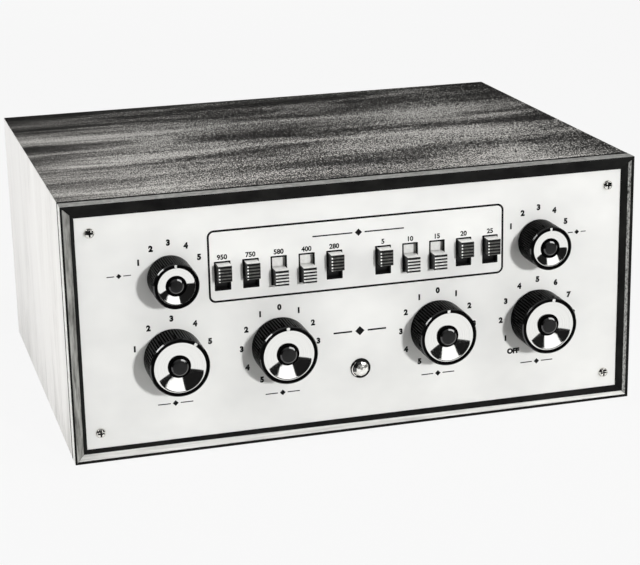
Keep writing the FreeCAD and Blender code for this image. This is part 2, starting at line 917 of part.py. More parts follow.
# Slide switch housings: boxes behind the front wall, open to it for the carriages
housing = new_body("slide_switch_housing")
housing_half_width = "(carriage_width / 2 + carriage_gap + housing_wall)"
housing_half_height = "(carriage_height / 2 + button_travel / 2 + carriage_gap + housing_wall)"
housing_depth = "(carriage_thick + 2 * carriage_gap + housing_wall)"
inner_half_width = f"{housing_half_width} - housing_wall"
inner_half_height = f"{housing_half_height} - housing_wall"
pad(
    housing,
    sketch_on(
        housing,
        "XZ_Plane",
        [
            rectangle(
                f"0 - {housing_half_width}",
                housing_half_width,
                f"0 - {housing_half_height}",
                housing_half_height,
            )
        ],
    ),
    housing_depth,
    back=True,
)
pocket(
    housing,
    sketch_on(
        housing,
        "XZ_Plane",
        [
            rectangle(
                f"0 - ({inner_half_width})",
                inner_half_width,
                f"0 - ({inner_half_height})",
                inner_half_height,
            )
        ],
    ),
    f"{housing_depth} - housing_wall",
)
group_of("slide_switches", housing, [(x, wall_back, "switch_row") for x in button_columns])

# Pilot light: bezel with its barrel, domed jewel, lamp. Own Z starts at the panel's front face.
bezel = new_body("pilot_bezel")
turned(
    bezel,
    [
        ("bezel_bore", "0 - bezel_length"),
        ("bezel_barrel", "0 - bezel_length"),
        ("bezel_barrel", "0"),
        ("bezel_radius", "0"),
        ("bezel_radius", "0.4 * bezel_front"),
        ("bezel_radius - 0.4 * bezel_front", "bezel_front"),
        ("jewel_radius + bezel_gap", "bezel_front"),
        ("jewel_radius + bezel_gap", "0 - jewel_seat"),
        ("bezel_bore", "0 - jewel_seat"),
    ],
)
jewel = new_body("pilot_jewel")
turned(
    jewel,
    [
        ("0", "0 - jewel_seat"),
        ("jewel_radius", "0 - jewel_seat"),
        ("jewel_radius", "bezel_front"),
        ("0.92 * jewel_radius", "bezel_front + 0.4 * jewel_dome"),
        ("0.7 * jewel_radius", "bezel_front + 0.75 * jewel_dome"),
        ("0.35 * jewel_radius", "bezel_front + 0.96 * jewel_dome"),
        ("0", "bezel_front + jewel_dome"),
    ],
)
lamp = new_body("pilot_lamp")
lamp_top = "(0 - 2 * jewel_seat)"
turned(
    lamp,
    [
        ("0", lamp_top),
        ("0.6 * lamp_bulb", lamp_top),
        ("lamp_bulb", f"{lamp_top} - 0.4 * lamp_bulb"),
        ("lamp_bulb", f"{lamp_top} - lamp_bulb_length"),
        ("bezel_bore - bezel_gap", f"{lamp_top} - lamp_bulb_length"),
        ("bezel_bore - bezel_gap", f"{lamp_top} - lamp_bulb_length - lamp_base_length"),
        ("0", f"{lamp_top} - lamp_bulb_length - lamp_base_length"),
    ],
)
for name, body in (("pilot_bezel", bezel), ("pilot_jewel", jewel), ("pilot_lamp", lamp)):
    face_forward(body)
    place(body, "0", panel_front, "pilot_rise")
    keep(body, name)

# Valve bracket: a deck on two legs that stand on the chassis floor
bracket = new_body("valve_bracket")
deck_top = f"({floor_top} + bracket_height)"
arch = [
    ("0 - bracket_span / 2", floor_top),
    ("0 - bracket_span / 2", deck_top),
    ("bracket_span / 2", deck_top),
    ("bracket_span / 2", floor_top),
    ("bracket_span / 2 - steel_thick", floor_top),
    ("bracket_span / 2 - steel_thick", f"{deck_top} - steel_thick"),
    ("steel_thick - bracket_span / 2", f"{deck_top} - steel_thick"),
    ("steel_thick - bracket_span / 2", floor_top),
]
pad(bracket, sketch_on(bracket, "XZ_Plane", [arch]), "bracket_depth", back=True)
valve_columns = [f"first_valve + {i} * valve_pitch" for i in range(4)]
deck_middle = "(bracket_front + bracket_depth / 2)"
deck_holes = [(x, "bracket_depth / 2", "socket_radius + socket_gap") for x in valve_columns]
deck_holes.append(("can_column", "bracket_depth / 2", "can_tail_radius + socket_gap"))
pocket(
    bracket,
    sketch_on(bracket, "XY_Plane", circles=deck_holes, offset=f"{deck_top} - 2 * steel_thick"),
    "4 * steel_thick",
    back=True,
)
place(bracket, y="bracket_front")
keep(bracket, "valve_bracket")

# Valve sockets, valves and shields: own Z starts at the deck's top
socket = new_body("valve_socket")
turned(
    socket,
    [
        ("socket_bore", "0 - socket_depth"),
        ("socket_radius", "0 - socket_depth"),
        ("socket_radius", "0"),
        ("socket_flange", "0"),
        ("socket_flange", "socket_flange_thick"),
        ("socket_bore", "socket_flange_thick"),
    ],
)
valve = new_body("valve")
turned(
    valve,
    [
        ("0", "socket_flange_thick - valve_foot"),
        ("socket_bore - socket_gap", "socket_flange_thick - valve_foot"),
        ("socket_bore - socket_gap", "socket_flange_thick"),
        ("valve_radius", "socket_flange_thick + 0.5 * valve_foot"),
        ("valve_radius", "valve_height - 0.5 * valve_radius"),
        ("0.8 * valve_radius", "valve_height - 0.2 * valve_radius"),
        ("0.3 * valve_radius", "valve_height"),
        ("0", "valve_height"),
    ],
)
shield = new_body("valve_shield")
shield_inside = "(valve_radius + shield_gap)"
turned(
    shield,
    [
        (shield_inside, "socket_flange_thick"),
        (f"{shield_inside} + shield_thick", "socket_flange_thick"),
        (f"{shield_inside} + shield_thick", "shield_height"),
        ("shield_hole", "shield_height"),
        ("shield_hole", "shield_height - shield_thick"),
        (shield_inside, "shield_height - shield_thick"),
    ],
)
valve_places = [(x, deck_middle, deck_top) for x in valve_columns]
group_of("valve_sockets", socket, valve_places)
group_of("valves", valve, valve_places)
group_of("valve_shields", shield, valve_places)

# Filter capacitor: a can on the deck, its tail through the deck's hole
can = new_body("filter_capacitor")
turned(
    can,
    [
        ("0", "0 - can_tail"),
        ("can_tail_radius", "0 - can_tail"),
        ("can_tail_radius", "0"),
        ("can_radius", "0"),
        ("can_radius", "can_height"),
        ("0", "can_height"),
    ],
)
place(can, "can_column", deck_middle, deck_top)
keep(can, "filter_capacitor")

# Tag board: a strip on two pillars, and the coupling capacitors that lie on it
tag_board = new_body("tag_board")
board_low = "pillar_height"
strip = rectangle("0 - board_length / 2", "board_length / 2", "0", "board_breadth")
pad(tag_board, sketch_on(tag_board, "XY_Plane", [strip], offset=board_low), "tag_board_thick")
pillars = [
    (f"{side} * (board_length / 2 - 2 * pillar_radius)", "board_breadth / 2", "pillar_radius")
    for side in (-1, 1)
]
pad(tag_board, sketch_on(tag_board, "XY_Plane", circles=pillars), board_low)
place(tag_board, y="board_front", z=floor_top)
keep(tag_board, "tag_board")
coupling = new_body("coupling_capacitor")
pad(
    coupling,
    sketch_on(coupling, "XZ_Plane", circles=[("0", "0", "coupling_radius")]),
    "coupling_length",
    both_ways=True,
)
coupling_rise = f"{floor_top} + pillar_height + tag_board_thick + coupling_radius"
group_of(
    "coupling_capacitors",
    coupling,
    [
        (f"({i} - 2.5) * coupling_pitch", "board_front + board_breadth / 2", coupling_rise)
        for i in range(6)
    ],
)

# Signal jacks: their own Z starts at the rear wall's back face and leads out to the back
jack = new_body("signal_jack")
turned(
    jack,
    [
        ("0", "0 - jack_tail"),
        ("jack_radius", "0 - jack_tail"),
        ("jack_radius", "0"),
        ("jack_flange", "0"),
        ("jack_flange", "jack_flange_thick"),
        ("jack_radius", "jack_flange_thick"),
        ("jack_radius", "jack_flange_thick + jack_length"),
        ("jack_bore", "jack_flange_thick + jack_length"),
        ("jack_bore", "0"),
        ("0", "0"),
    ],
)
face_back(jack)
group_of("signal_jacks", jack, [(x, rear_wall_back, z) for x, z in jack_places])

# Power inlet: a round socket with eight pin holes and a key hole
inlet = new_body("power_inlet")
inlet_face = "(inlet_flange_thick + inlet_front)"
turned(
    inlet,
    [
        ("0", "0 - inlet_tail"),
        ("inlet_radius", "0 - inlet_tail"),
        ("inlet_radius", "0"),
        ("inlet_flange", "0"),
        ("inlet_flange", "inlet_flange_thick"),
        ("inlet_radius", "inlet_flange_thick"),
        ("inlet_radius", inlet_face),
        ("inlet_key_radius", inlet_face),
        ("inlet_key_radius", "1 - inlet_tail"),
        ("0", "1 - inlet_tail"),
    ],
)
pin_holes = [
    (
        f"inlet_pin_circle * cos({45 * i + 22.5} deg)",
        f"inlet_pin_circle * sin({45 * i + 22.5} deg)",
        "inlet_pin_radius",
    )
    for i in range(8)
]
pocket(
    inlet,
    sketch_on(inlet, "XY_Plane", circles=pin_holes, offset=inlet_face),
    f"{inlet_face} + inlet_tail - 1",
)
face_back(inlet)
place(inlet, "inlet_column", rear_wall_back, "inlet_row")
keep(inlet, "power_inlet")

doc.recompute()
for item in doc.Objects:
    if "Invalid" in item.State or "Error" in item.State:
        raise RuntimeError(f"{item.Name} failed: {item.State}")
for item in sub_parts:
    if item.Shape.isNull() or not item.Shape.isValid():
        raise RuntimeError(f"{item.Label} has no valid shape")

os.makedirs("parts", exist_ok=True)
for item in sub_parts:
    item.Shape.exportStep(f"parts/{item.Label}.step")
print(len(sub_parts), "sub-parts written")
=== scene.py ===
import math
import bpy
import bmesh
from mathutils import Matrix, Quaternion, Vector


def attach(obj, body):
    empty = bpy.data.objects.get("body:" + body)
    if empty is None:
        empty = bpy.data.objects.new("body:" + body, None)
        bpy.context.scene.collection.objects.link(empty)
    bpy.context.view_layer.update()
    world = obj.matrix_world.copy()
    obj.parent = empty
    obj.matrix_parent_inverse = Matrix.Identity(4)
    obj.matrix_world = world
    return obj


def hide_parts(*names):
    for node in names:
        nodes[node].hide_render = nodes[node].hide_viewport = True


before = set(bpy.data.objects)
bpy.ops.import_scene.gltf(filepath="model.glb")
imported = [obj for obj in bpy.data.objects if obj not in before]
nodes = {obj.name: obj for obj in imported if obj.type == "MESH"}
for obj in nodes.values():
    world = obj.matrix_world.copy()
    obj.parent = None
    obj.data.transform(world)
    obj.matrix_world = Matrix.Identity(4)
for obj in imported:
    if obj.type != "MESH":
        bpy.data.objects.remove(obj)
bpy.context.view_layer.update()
print("frame loaded:", len(nodes), "nodes")


def mm(length):  # lengths are in mm throughout, but for the studio's
    return length / 1000.0


# helpers for working on a piece

def clearSelection():
    if bpy.context.object and bpy.context.object.mode != "OBJECT":
        bpy.ops.object.mode_set(mode="OBJECT")
    bpy.ops.object.select_all(action="DESELECT")


def take(piece):
    clearSelection()
    piece.select_set(True)
    bpy.context.view_layer.objects.active = piece


def started(name):  # names the primitive just added and puts its place in its mesh
    piece = bpy.context.object
    piece.name = name
    piece.data.name = name
    bpy.ops.object.transform_apply(location=True, rotation=True, scale=True)
    return piece


def pick(piece, test, kind="FACE"):  # in edit mode, selects what passes the test
    bpy.ops.object.mode_set(mode="EDIT")
    bpy.ops.mesh.select_mode(type=kind)
    bpy.ops.mesh.select_all(action="DESELECT")
    shape = bmesh.from_edit_mesh(piece.data)
    parts = {"FACE": shape.faces, "EDGE": shape.edges, "VERT": shape.verts}[kind]
    for part in parts:
        if test(part):
            part.select_set(True)
    shape.select_flush_mode()
    bmesh.update_edit_mesh(piece.data)


def cutAcross(point, normal):  # a bisect right through the active piece, which it leaves in edit mode
    bpy.ops.object.mode_set(mode="EDIT")
    bpy.ops.mesh.select_all(action="SELECT")
    bpy.ops.mesh.bisect(plane_co=point, plane_no=normal)


def extrudeBack(y):  # the picked faces, in mm
    bpy.ops.mesh.extrude_region_move(TRANSFORM_OT_translate={"value": (0, mm(y), 0)})


def soften(piece, width, segments=2, angle=30):  # breaks the sharp edges, width in mm
    take(piece)
    edge = piece.modifiers.new("edge", "BEVEL")
    edge.width = mm(width)
    edge.segments = segments
    edge.limit_method = "ANGLE"
    edge.angle_limit = math.radians(angle)
    bpy.ops.object.modifier_apply(modifier=edge.name)


def thickened(piece, thick):  # gives a sheet its thickness, in mm
    wall = piece.modifiers.new("wall", "SOLIDIFY")
    wall.thickness = mm(thick)
    wall.offset = -1
    bpy.ops.object.modifier_apply(modifier=wall.name)


def smoothed(piece, angle=32):
    take(piece)
    bpy.ops.object.shade_smooth_by_angle(angle=math.radians(angle))


def tracedFrom(nodeName, name):  # a copy of a CAD node's shape, its loose triangles merged
    clearSelection()
    piece = nodes[nodeName].copy()
    piece.data = nodes[nodeName].data.copy()
    for key in list(piece.keys()):
        del piece[key]
    piece.parent = None
    piece.name = name
    piece.data.name = name
    bpy.context.scene.collection.objects.link(piece)
    take(piece)
    bpy.ops.mesh.customdata_custom_splitnormals_clear()
    bpy.ops.object.mode_set(mode="EDIT")
    bpy.ops.mesh.select_all(action="SELECT")
    bpy.ops.mesh.remove_doubles(threshold=0.000002)
    bpy.ops.mesh.dissolve_limited(angle_limit=math.radians(0.5))
    bpy.ops.object.mode_set(mode="OBJECT")
    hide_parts(nodeName)
    return piece


def repeated(piece, name, x, z, turn=0.0):  # a copy with its own mesh, turned clockwise and moved to x and z
    copy = piece.copy()
    copy.data = piece.data.copy()
    copy.name = name
    copy.data.name = name
    bpy.context.scene.collection.objects.link(copy)
    turned = Matrix.Rotation(math.radians(turn), 4, "Y")
    copy.data.transform(Matrix.Translation((mm(x), 0, mm(z))) @ turned)
    return copy


def joined(pieces, name):
    clearSelection()
    for piece in pieces:
        piece.select_set(True)
    bpy.context.view_layer.objects.active = pieces[0]
    if len(pieces) > 1:
        bpy.ops.object.join()
    pieces[0].name = name
    pieces[0].data.name = name
    return pieces[0]


def painted(piece, finishes, choose=None):  # its finishes, and which of them each face gets
    piece.data.materials.clear()
    for finish in finishes:
        piece.data.materials.append(finish)
    for face in piece.data.polygons:
        face.material_index = choose(face) if choose else 0
    return piece


def dressed(piece, body, finishes, choose=None):
    painted(piece, finishes, choose)
    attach(piece, body)


# the camera, fitted to the corners of the cabinet and the marks on the panel

cameraValues = {
    "azimuth": -15.719,
    "elevation": 16.937,
    "roll": -1.217,
    "distance": 924.22,
    "target": (-21.40, -111.0, 81.74),
    "lens": 103.93,
}


def makeCamera():
    azimuth, elevation, roll = [math.radians(cameraValues[key]) for key in ("azimuth", "elevation", "roll")]
    level = math.cos(elevation)
    back = Vector((math.sin(azimuth) * level, -math.cos(azimuth) * level, math.sin(elevation)))
    right = (-back).cross(Vector((0, 0, 1))).normalized()
    up = right.cross(-back)
    sideways = right * math.cos(roll) + up * math.sin(roll)
    upward = up * math.cos(roll) - right * math.sin(roll)
    lens = bpy.data.cameras.new("studioCamera")
    lens.lens = cameraValues["lens"]
    lens.sensor_width = 36
    lens.sensor_fit = "HORIZONTAL"
    lens.clip_start = 0.05
    lens.clip_end = 60
    camera = bpy.data.objects.new("studioCamera", lens)
    bpy.context.scene.collection.objects.link(camera)
    turn = Matrix((sideways, upward, back)).transposed().to_4x4()
    place = Vector(cameraValues["target"]) / 1000 + back * mm(cameraValues["distance"])
    camera.matrix_world = Matrix.Translation(place) @ turn
    bpy.context.scene.camera = camera


makeCamera()
bpy.context.scene.view_settings.view_transform = "Standard"
print("camera placed")


def linear(hexColour):  # an sRGB hex colour as the shader wants it
    parts = [int(hexColour[i : i + 2], 16) / 255 for i in (1, 3, 5)]
    return tuple(c / 12.92 if c <= 0.04045 else ((c + 0.055) / 1.055) ** 2.4 for c in parts) + (1.0,)


def addNode(material, kind, settings=None, links=None, stops=None):
    # kind is a type of node, or a node already there; a link comes from a node's first outlet or from
    # (node, outlet); stops are a colour ramp's places and colours
    tree = material.node_tree
    node = tree.nodes.new(kind) if isinstance(kind, str) else kind
    for key, setting in (settings or {}).items():
        if isinstance(key, int) or key in node.inputs:
            node.inputs[key].default_value = setting
        else:
            setattr(node, key, setting)
    for i, (place, colour) in enumerate(stops or []):
        if i > 1:
            node.color_ramp.elements.new(place)
        node.color_ramp.elements[i].position = place
        node.color_ramp.elements[i].color = linear(colour)
    for key, source in (links or {}).items():
        outlet = source[0].outputs[source[1]] if isinstance(source, tuple) else source.outputs[0]
        tree.links.new(outlet, node.inputs[key])
    return node


def newMaterial(name, settings):
    material = bpy.data.materials.new(name)
    material.use_nodes = True
    shader = material.node_tree.nodes["Principled BSDF"]
    addNode(material, shader, settings)
    return material, shader


woodValues = {
    "topTones": [(0.05, "#100f0e"), (0.35, "#3f3e3c"), (0.6, "#85837f"), (0.95, "#d3d1cc")],
    # the sides: the same walnut painted far paler, as painted light
    "litSideTones": [(0.1, "#c9c7c3"), (0.42, "#efedea"), (0.9, "#fbfaf7")],
    "underTones": [(0.1, "#5f5d59"), (0.5, "#8b8983"), (0.9, "#a9a6a0")],
    # each layer: mm along the grain and across it, strength, detail, waviness,
    # and how much of that strength it has at the sheet's left end and over the rest
    "topLayers": [
        (150.0, 26.0, 1.9, 2.0, 0.7, (0.8, 1.0)),  # soft bands
        (45.0, 1.7, 0.55, 3.0, 0.2, (1.5, 0.7)),  # streaks
        (0.6, 1.4, 2.3, 0.0, 0.0, (0.3, 1.0)),  # open pores, drawn coarser than real so that they show
    ],
    "sideLayers": [
        (120.0, 26.0, 1.0, 2.0, 0.8, (1.0, 1.0)),
        (60.0, 1.3, 0.65, 3.0, 0.1, (1.0, 1.0)),
        (7.0, 0.6, 0.35, 1.0, 0.0, (1.0, 1.0)),
    ],
    # painted light and shade on the top, from left to right and from front to back, and the sides darker
    # towards the bottom, upward, where 0.5 is the underside
    "paintedLightLeftToRight": [
        (0.0, "#bcbcbc"),
        (0.2, "#cecece"),
        (0.48, "#a6a6a6"),
        (0.84, "#c8c8c8"),
        (1.0, "#808080"),
    ],
    "paintedShadeTowardBack": [(0.0, "#c4c4c4"), (0.5, "#bcbcbc"), (0.76, "#b6b6b6"), (1.0, "#545454")],
    "upward": [(0.5, "#828282"), (0.64, "#bcbcbc")],
    "reach": {"X": 149, "Y": 111, "Z": 132},  # their places 0 and 1 are this far to either side of 0
    "layerShare": (-130, -20),  # between these a layer's share at the left end gives way to the other one
}


def makeVeneer(name, along, tones, sheetGradients, layers):
    # walnut veneer under satin lacquer: soft bands and dark streaks, and open pores that speckle it
    material, shader = newMaterial(name, {"Coat Weight": 0.25, "Coat Roughness": 0.28})
    place = addNode(material, "ShaderNodeTexCoord")
    parts = addNode(material, "ShaderNodeSeparateXYZ", None, {"Vector": (place, "Object")})
    total = addNode(material, "ShaderNodeMath", {"operation": "ADD", 0: 0.5 - 0.5 * len(sheetGradients), 1: 0.0})
    # the gradients given: painted light and shade on the top, and on the sides darker towards the bottom
    for axis, stops in sheetGradients.items():
        reach = mm(woodValues["reach"][axis])
        sized = addNode(
            material, "ShaderNodeMapRange", {"From Min": -reach, "From Max": reach}, {"Value": (parts, axis)}
        )
        depth = addNode(material, "ShaderNodeValToRGB", None, {"Fac": sized}, stops)
        total = addNode(material, "ShaderNodeMath", {"operation": "ADD"}, {0: total, 1: depth})
    low, high = woodValues["layerShare"]
    for long, short, strength, detail, wave, ends in layers:
        size = (long, short, short) if along == "x" else (short, short, long)
        sized = addNode(
            material, "ShaderNodeMapping", {"Scale": [1000 / s for s in size]}, {"Vector": (place, "Object")}
        )
        noise = addNode(
            material,
            "ShaderNodeTexNoise",
            {"Scale": 1.0, "Detail": detail, "Roughness": 0.55, "Distortion": wave},
            {"Vector": sized},
        )
        swing = addNode(material, "ShaderNodeMath", {"operation": "SUBTRACT", 1: 0.5}, {0: noise})
        strong = [strength * end for end in ends]
        share = addNode(
            material,
            "ShaderNodeMapRange",
            {"From Min": mm(low), "From Max": mm(high), "To Min": strong[0], "To Max": strong[1]},
            {"Value": (parts, "X")},
        )
        total = addNode(
            material, "ShaderNodeMath", {"operation": "MULTIPLY_ADD"}, {0: swing, 1: share, 2: total}
        )
    tone = addNode(material, "ShaderNodeValToRGB", None, {"Fac": total}, tones)
    sheen = addNode(material, "ShaderNodeMapRange", {"To Min": 0.38, "To Max": 0.52}, {"Value": total})
    # the relief is the last layer's
    bump = addNode(material, "ShaderNodeBump", {"Distance": mm(0.02), "Strength": 0.3}, {"Height": noise})
    addNode(material, shader, None, {"Base Color": tone, "Roughness": sheen, "Normal": bump})
    return material


topPaintedLightAndShade = {"X": woodValues["paintedLightLeftToRight"], "Y": woodValues["paintedShadeTowardBack"]}
sideDarkerLow = {"Z": woodValues["upward"]}
topLayers, sideLayers = woodValues["topLayers"], woodValues["sideLayers"]
topVeneer = makeVeneer("lacqueredWalnutTop", "x", woodValues["topTones"], topPaintedLightAndShade, topLayers)
# the sides take the walnut painted pale, as painted light
litSideVeneer = makeVeneer("lacqueredWalnutSidePaintedLit", "z", woodValues["litSideTones"], sideDarkerLow, sideLayers)
underVeneer = makeVeneer("rawWalnutUnderside", "x", woodValues["underTones"], {}, sideLayers)


def makeFinish(name, settings, tones, gloss, cloudSize, grainSize, depth):
    # a soft cloud carries the tone and the gloss, and a finer grain the relief; sizes and depth in mm
    material, shader = newMaterial(name, settings)
    place = addNode(material, "ShaderNodeTexCoord")
    noises = []
    for size in (cloudSize, grainSize):
        sized = addNode(
            material, "ShaderNodeMapping", {"Scale": [1000 / s for s in size]}, {"Vector": (place, "Object")}
        )
        noises.append(
            addNode(
                material,
                "ShaderNodeTexNoise",
                {"Scale": 1.0, "Detail": 3.0, "Roughness": 0.6},
                {"Vector": sized},
            )
        )
    stops = list(zip((0.3, 0.7), tones))
    tone = addNode(material, "ShaderNodeValToRGB", None, {"Fac": noises[0]}, stops)
    sheen = addNode(
        material, "ShaderNodeMapRange", {"To Min": gloss[0], "To Max": gloss[1]}, {"Value": noises[0]}
    )
    bump = addNode(
        material, "ShaderNodeBump", {"Distance": mm(depth), "Strength": 0.4}, {"Height": noises[1]}
    )
    addNode(material, shader, None, {"Base Color": tone, "Roughness": sheen, "Normal": bump})
    return material


# satin stove enamel on rolled metal: near white with faint clouding and a fine orange peel
panelEnamel = makeFinish(
    "satinPanelEnamel", {"IOR": 1.5},
    ("#e4e4e2", "#f1f1ee"), (0.34, 0.46), (55, 55, 38), (0.9, 0.9, 0.9), 0.015,
)
# buffed moulded phenolic: deep black, glossy where it is seen at a slant, with faint flow marks
knobPhenolic = makeFinish(
    "mouldedPhenolicKnob", {"IOR": 1.5, "Specular IOR Level": 0.01},
    ("#040404", "#090909"), (0.1, 0.16), (6, 6, 9), (0.6, 0.6, 0.6), 0.01,
)
# the same on the ridges of the grip: a little more polish, so they light up where they are seen at a slant
ridgePhenolic = makeFinish(
    "mouldedPhenolicRidge", {"IOR": 1.5, "Specular IOR Level": 0.02},
    ("#040404", "#090909"), (0.06, 0.1), (6, 6, 9), (0.6, 0.6, 0.6), 0.004,
)
# the same deep in the flutes, painted shade: flat black with no gloss
fluteShadePhenolic = makeFinish(
    "mouldedPhenolicFluteShade", {"IOR": 1.5, "Specular IOR Level": 0.0},
    ("#030303", "#070707"), (0.6, 0.7), (3, 3, 3), (0.6, 0.6, 0.6), 0.01,
)
# the same on the edges of the rim and the hub, where fingers polish it: small sharp lights on black
buffedPhenolic = makeFinish(
    "buffedPhenolicEdge", {"IOR": 1.5, "Specular IOR Level": 1.0},
    ("#050505", "#0b0b0b"), (0.08, 0.14), (6, 6, 9), (0.6, 0.6, 0.6), 0.004,
)
# moulded styrene, handled: black with a duller skin than the knobs
buttonPlastic = makeFinish(
    "mouldedStyreneButton", {"IOR": 1.55, "Specular IOR Level": 0.25},
    ("#0d0d0d", "#181818"), (0.3, 0.44), (4, 4, 4), (0.5, 0.5, 0.5), 0.015,
)
# flat black, nearly flat, slight unevenness: black on the moulding's lip and in its joint, and painted shade
# and painted dark reflection on the moulding's bands, the walls of the slots, the screws' cross recesses, the
# bezel and the jewel's seat
blackAndPaintedShade = makeFinish(
    "flatBlackAndPaintedShade", {"IOR": 1.5, "Specular IOR Level": 0.03},
    ("#141414", "#222221"), (0.5, 0.64), (12, 12, 12), (0.8, 0.8, 0.8), 0.02,
)
# phenolic sockets at the back: brown-black, dull from the mould
inletPhenolic = makeFinish(
    "mouldedPhenolicSocket", {"IOR": 1.55},
    ("#16120f", "#241d18"), (0.38, 0.52), (5, 5, 5), (0.7, 0.7, 0.7), 0.03,
)
# paper phenolic board: warm brown with the weave of its paper showing as fine streaks
innerPhenolic = makeFinish(
    "paperPhenolicBoard", {"IOR": 1.55},
    ("#3d2a1c", "#553b27"), (0.42, 0.58), (1.2, 1.2, 9), (0.6, 0.6, 2.4), 0.03,
)
# opaque white, flat, a little uneven: filling paint wiped into the knobs' index notches and on the button
# plates, and painted glints on the left ends of the buttons' ribs
whiteFillAndGlint = makeFinish(
    "whiteFillingPaintAndPaintedGlint", {},
    ("#e9e9e6", "#f7f7f4"), (0.44, 0.58), (1.4, 1.4, 1.4), (0.6, 0.6, 0.6), 0.02,
)
# screen printed ink: dense black, dead flat
printInk = makeFinish(
    "screenPrintInk", {"Specular IOR Level": 0.2},
    ("#050505", "#0d0d0d"), (0.5, 0.65), (1.4, 1.4, 1.4), (0.5, 0.5, 0.5), 0.01,
)
# painted highlight: the black tops of the buttons painted pale where they catch the light
capTopHighlight = makeFinish(
    "paintedButtonTopHighlight", {},
    ("#cfcfcc", "#ecece9"), (0.34, 0.48), (1.6, 1.6, 1.6), (0.6, 0.6, 0.6), 0.02,
)
# painted highlight on the ribs of a pressed button, where they catch the light: patchy light grey
pressedRibHighlight = makeFinish(
    "paintedPressedRibHighlight", {},
    ("#b4b4b1", "#e6e6e3"), (0.36, 0.5), (1.6, 1.6, 0.6), (0.5, 0.5, 0.5), 0.02,
)
# painted highlight on the ribs of a raised button: the black plastic painted grey
raisedRibHighlight = makeFinish(
    "paintedRaisedRibHighlight", {},
    ("#30302e", "#63635f"), (0.34, 0.46), (1.6, 1.6, 0.6), (0.5, 0.5, 0.5), 0.02,
)
# drawn moulding, lacquered, painted bright as a painted reflection of the light; its drawing lines run along
# it as faint streaks
mouldingBrightReflection = makeFinish(
    "lacqueredMouldingPaintedBrightReflection", {"Metallic": 0.3},
    ("#d2d2ce", "#fafaf6"), (0.34, 0.48), (30, 30, 1.1), (24, 24, 0.5), 0.02,
)
# the same moulding painted mid grey and mottled, as a painted reflection of the panel beside it
mouldingGreyReflection = makeFinish(
    "lacqueredMouldingPaintedGreyReflection", {"Metallic": 0.5},
    ("#5a5a56", "#bcbcb7"), (0.36, 0.5), (2.0, 2.0, 12), (1, 1, 9), 0.02,
)
# the same on the top edge, painted lighter as painted light on its upward face, with a fine speckle
mouldingTopLight = makeFinish(
    "lacqueredMouldingPaintedTopLight", {"Metallic": 0.5},
    ("#a5a5a1", "#e4e4e0"), (0.36, 0.5), (2.6, 1.6, 1.6), (9, 1, 1), 0.02,
)
# the same turned from the light, painted as shade: dark, with a painted streak of reflected light here and
# there
shadedMoulding = makeFinish(
    "lacqueredMouldingShaded", {"Metallic": 0.3},
    ("#0a0a0a", "#cfcfcb"), (0.36, 0.5), (0.8, 0.8, 1.5), (1, 1, 9), 0.02,
)
# nickel plate over turned brass: bright and sharp, its faint turning marks soften it
nickel = makeFinish(
    "nickelPlatedBrass", {"Metallic": 1.0},
    ("#dcdad5", "#ecebe6"), (0.04, 0.09), (3, 3, 3), (0.6, 0.6, 0.6), 0.004,
)
# zinc plate on pressed steel: grey, with a soft patchy gloss
zincSteel = makeFinish(
    "zincPlatedSteel", {"Metallic": 1.0},
    ("#9c9d9b", "#bcbdba"), (0.34, 0.5), (5, 5, 5), (0.8, 0.8, 0.8), 0.015,
)
# cadmium plate on the chassis: a warmer grey, cloudy, with rolling marks along it
chassisSteel = makeFinish(
    "cadmiumPlatedChassis", {"Metallic": 1.0},
    ("#a09f98", "#b6b5ad"), (0.36, 0.46), (46, 46, 9), (30, 30, 0.6), 0.012,
)
# drawn aluminium cans: pale, with draw marks down their length
canAluminium = makeFinish(
    "drawnAluminiumCan", {"Metallic": 1.0},
    ("#b4b4b2", "#cfcfcc"), (0.3, 0.42), (2, 2, 14), (0.8, 0.8, 18), 0.015,
)
# pressed glass of the pilot jewel: clear and silvered behind, so bright, wavy in its facets
jewelGlass = makeFinish(
    "silveredGlassJewel", {"Metallic": 0.75, "IOR": 1.5, "Coat Weight": 1.0, "Coat Roughness": 0.02},
    ("#e6e4de", "#fdfcf8"), (0.05, 0.1), (1.6, 1.6, 1.6), (1.8, 1.8, 1.8), 0.05,
)
# painted dark reflection: the jewel's facets that look into the dark of the lamp's barrel, painted as the
# same glass near black
facetDarkReflection = makeFinish(
    "paintedDarkFacetReflection", {"IOR": 1.5, "Coat Weight": 1.0, "Coat Roughness": 0.02},
    ("#080808", "#2c2c2a"), (0.1, 0.2), (1.2, 1.2, 1.2), (1.8, 1.8, 1.8), 0.05,
)
# blown glass of the valves: clear, a little wavy
valveGlass = makeFinish(
    "blownValveGlass", {"Transmission Weight": 1.0, "IOR": 1.5},
    ("#e8ece8", "#fbfbf9"), (0.02, 0.05), (4, 4, 4), (6, 6, 6), 0.05,
)


spunValues = {
    "rings": 38.0,  # from the axis to the edge, coarser than real so that they show
    "roughness": (0.06, 0.1),
    "tones": ("#e6e6e3", "#f4f4f1"),
}


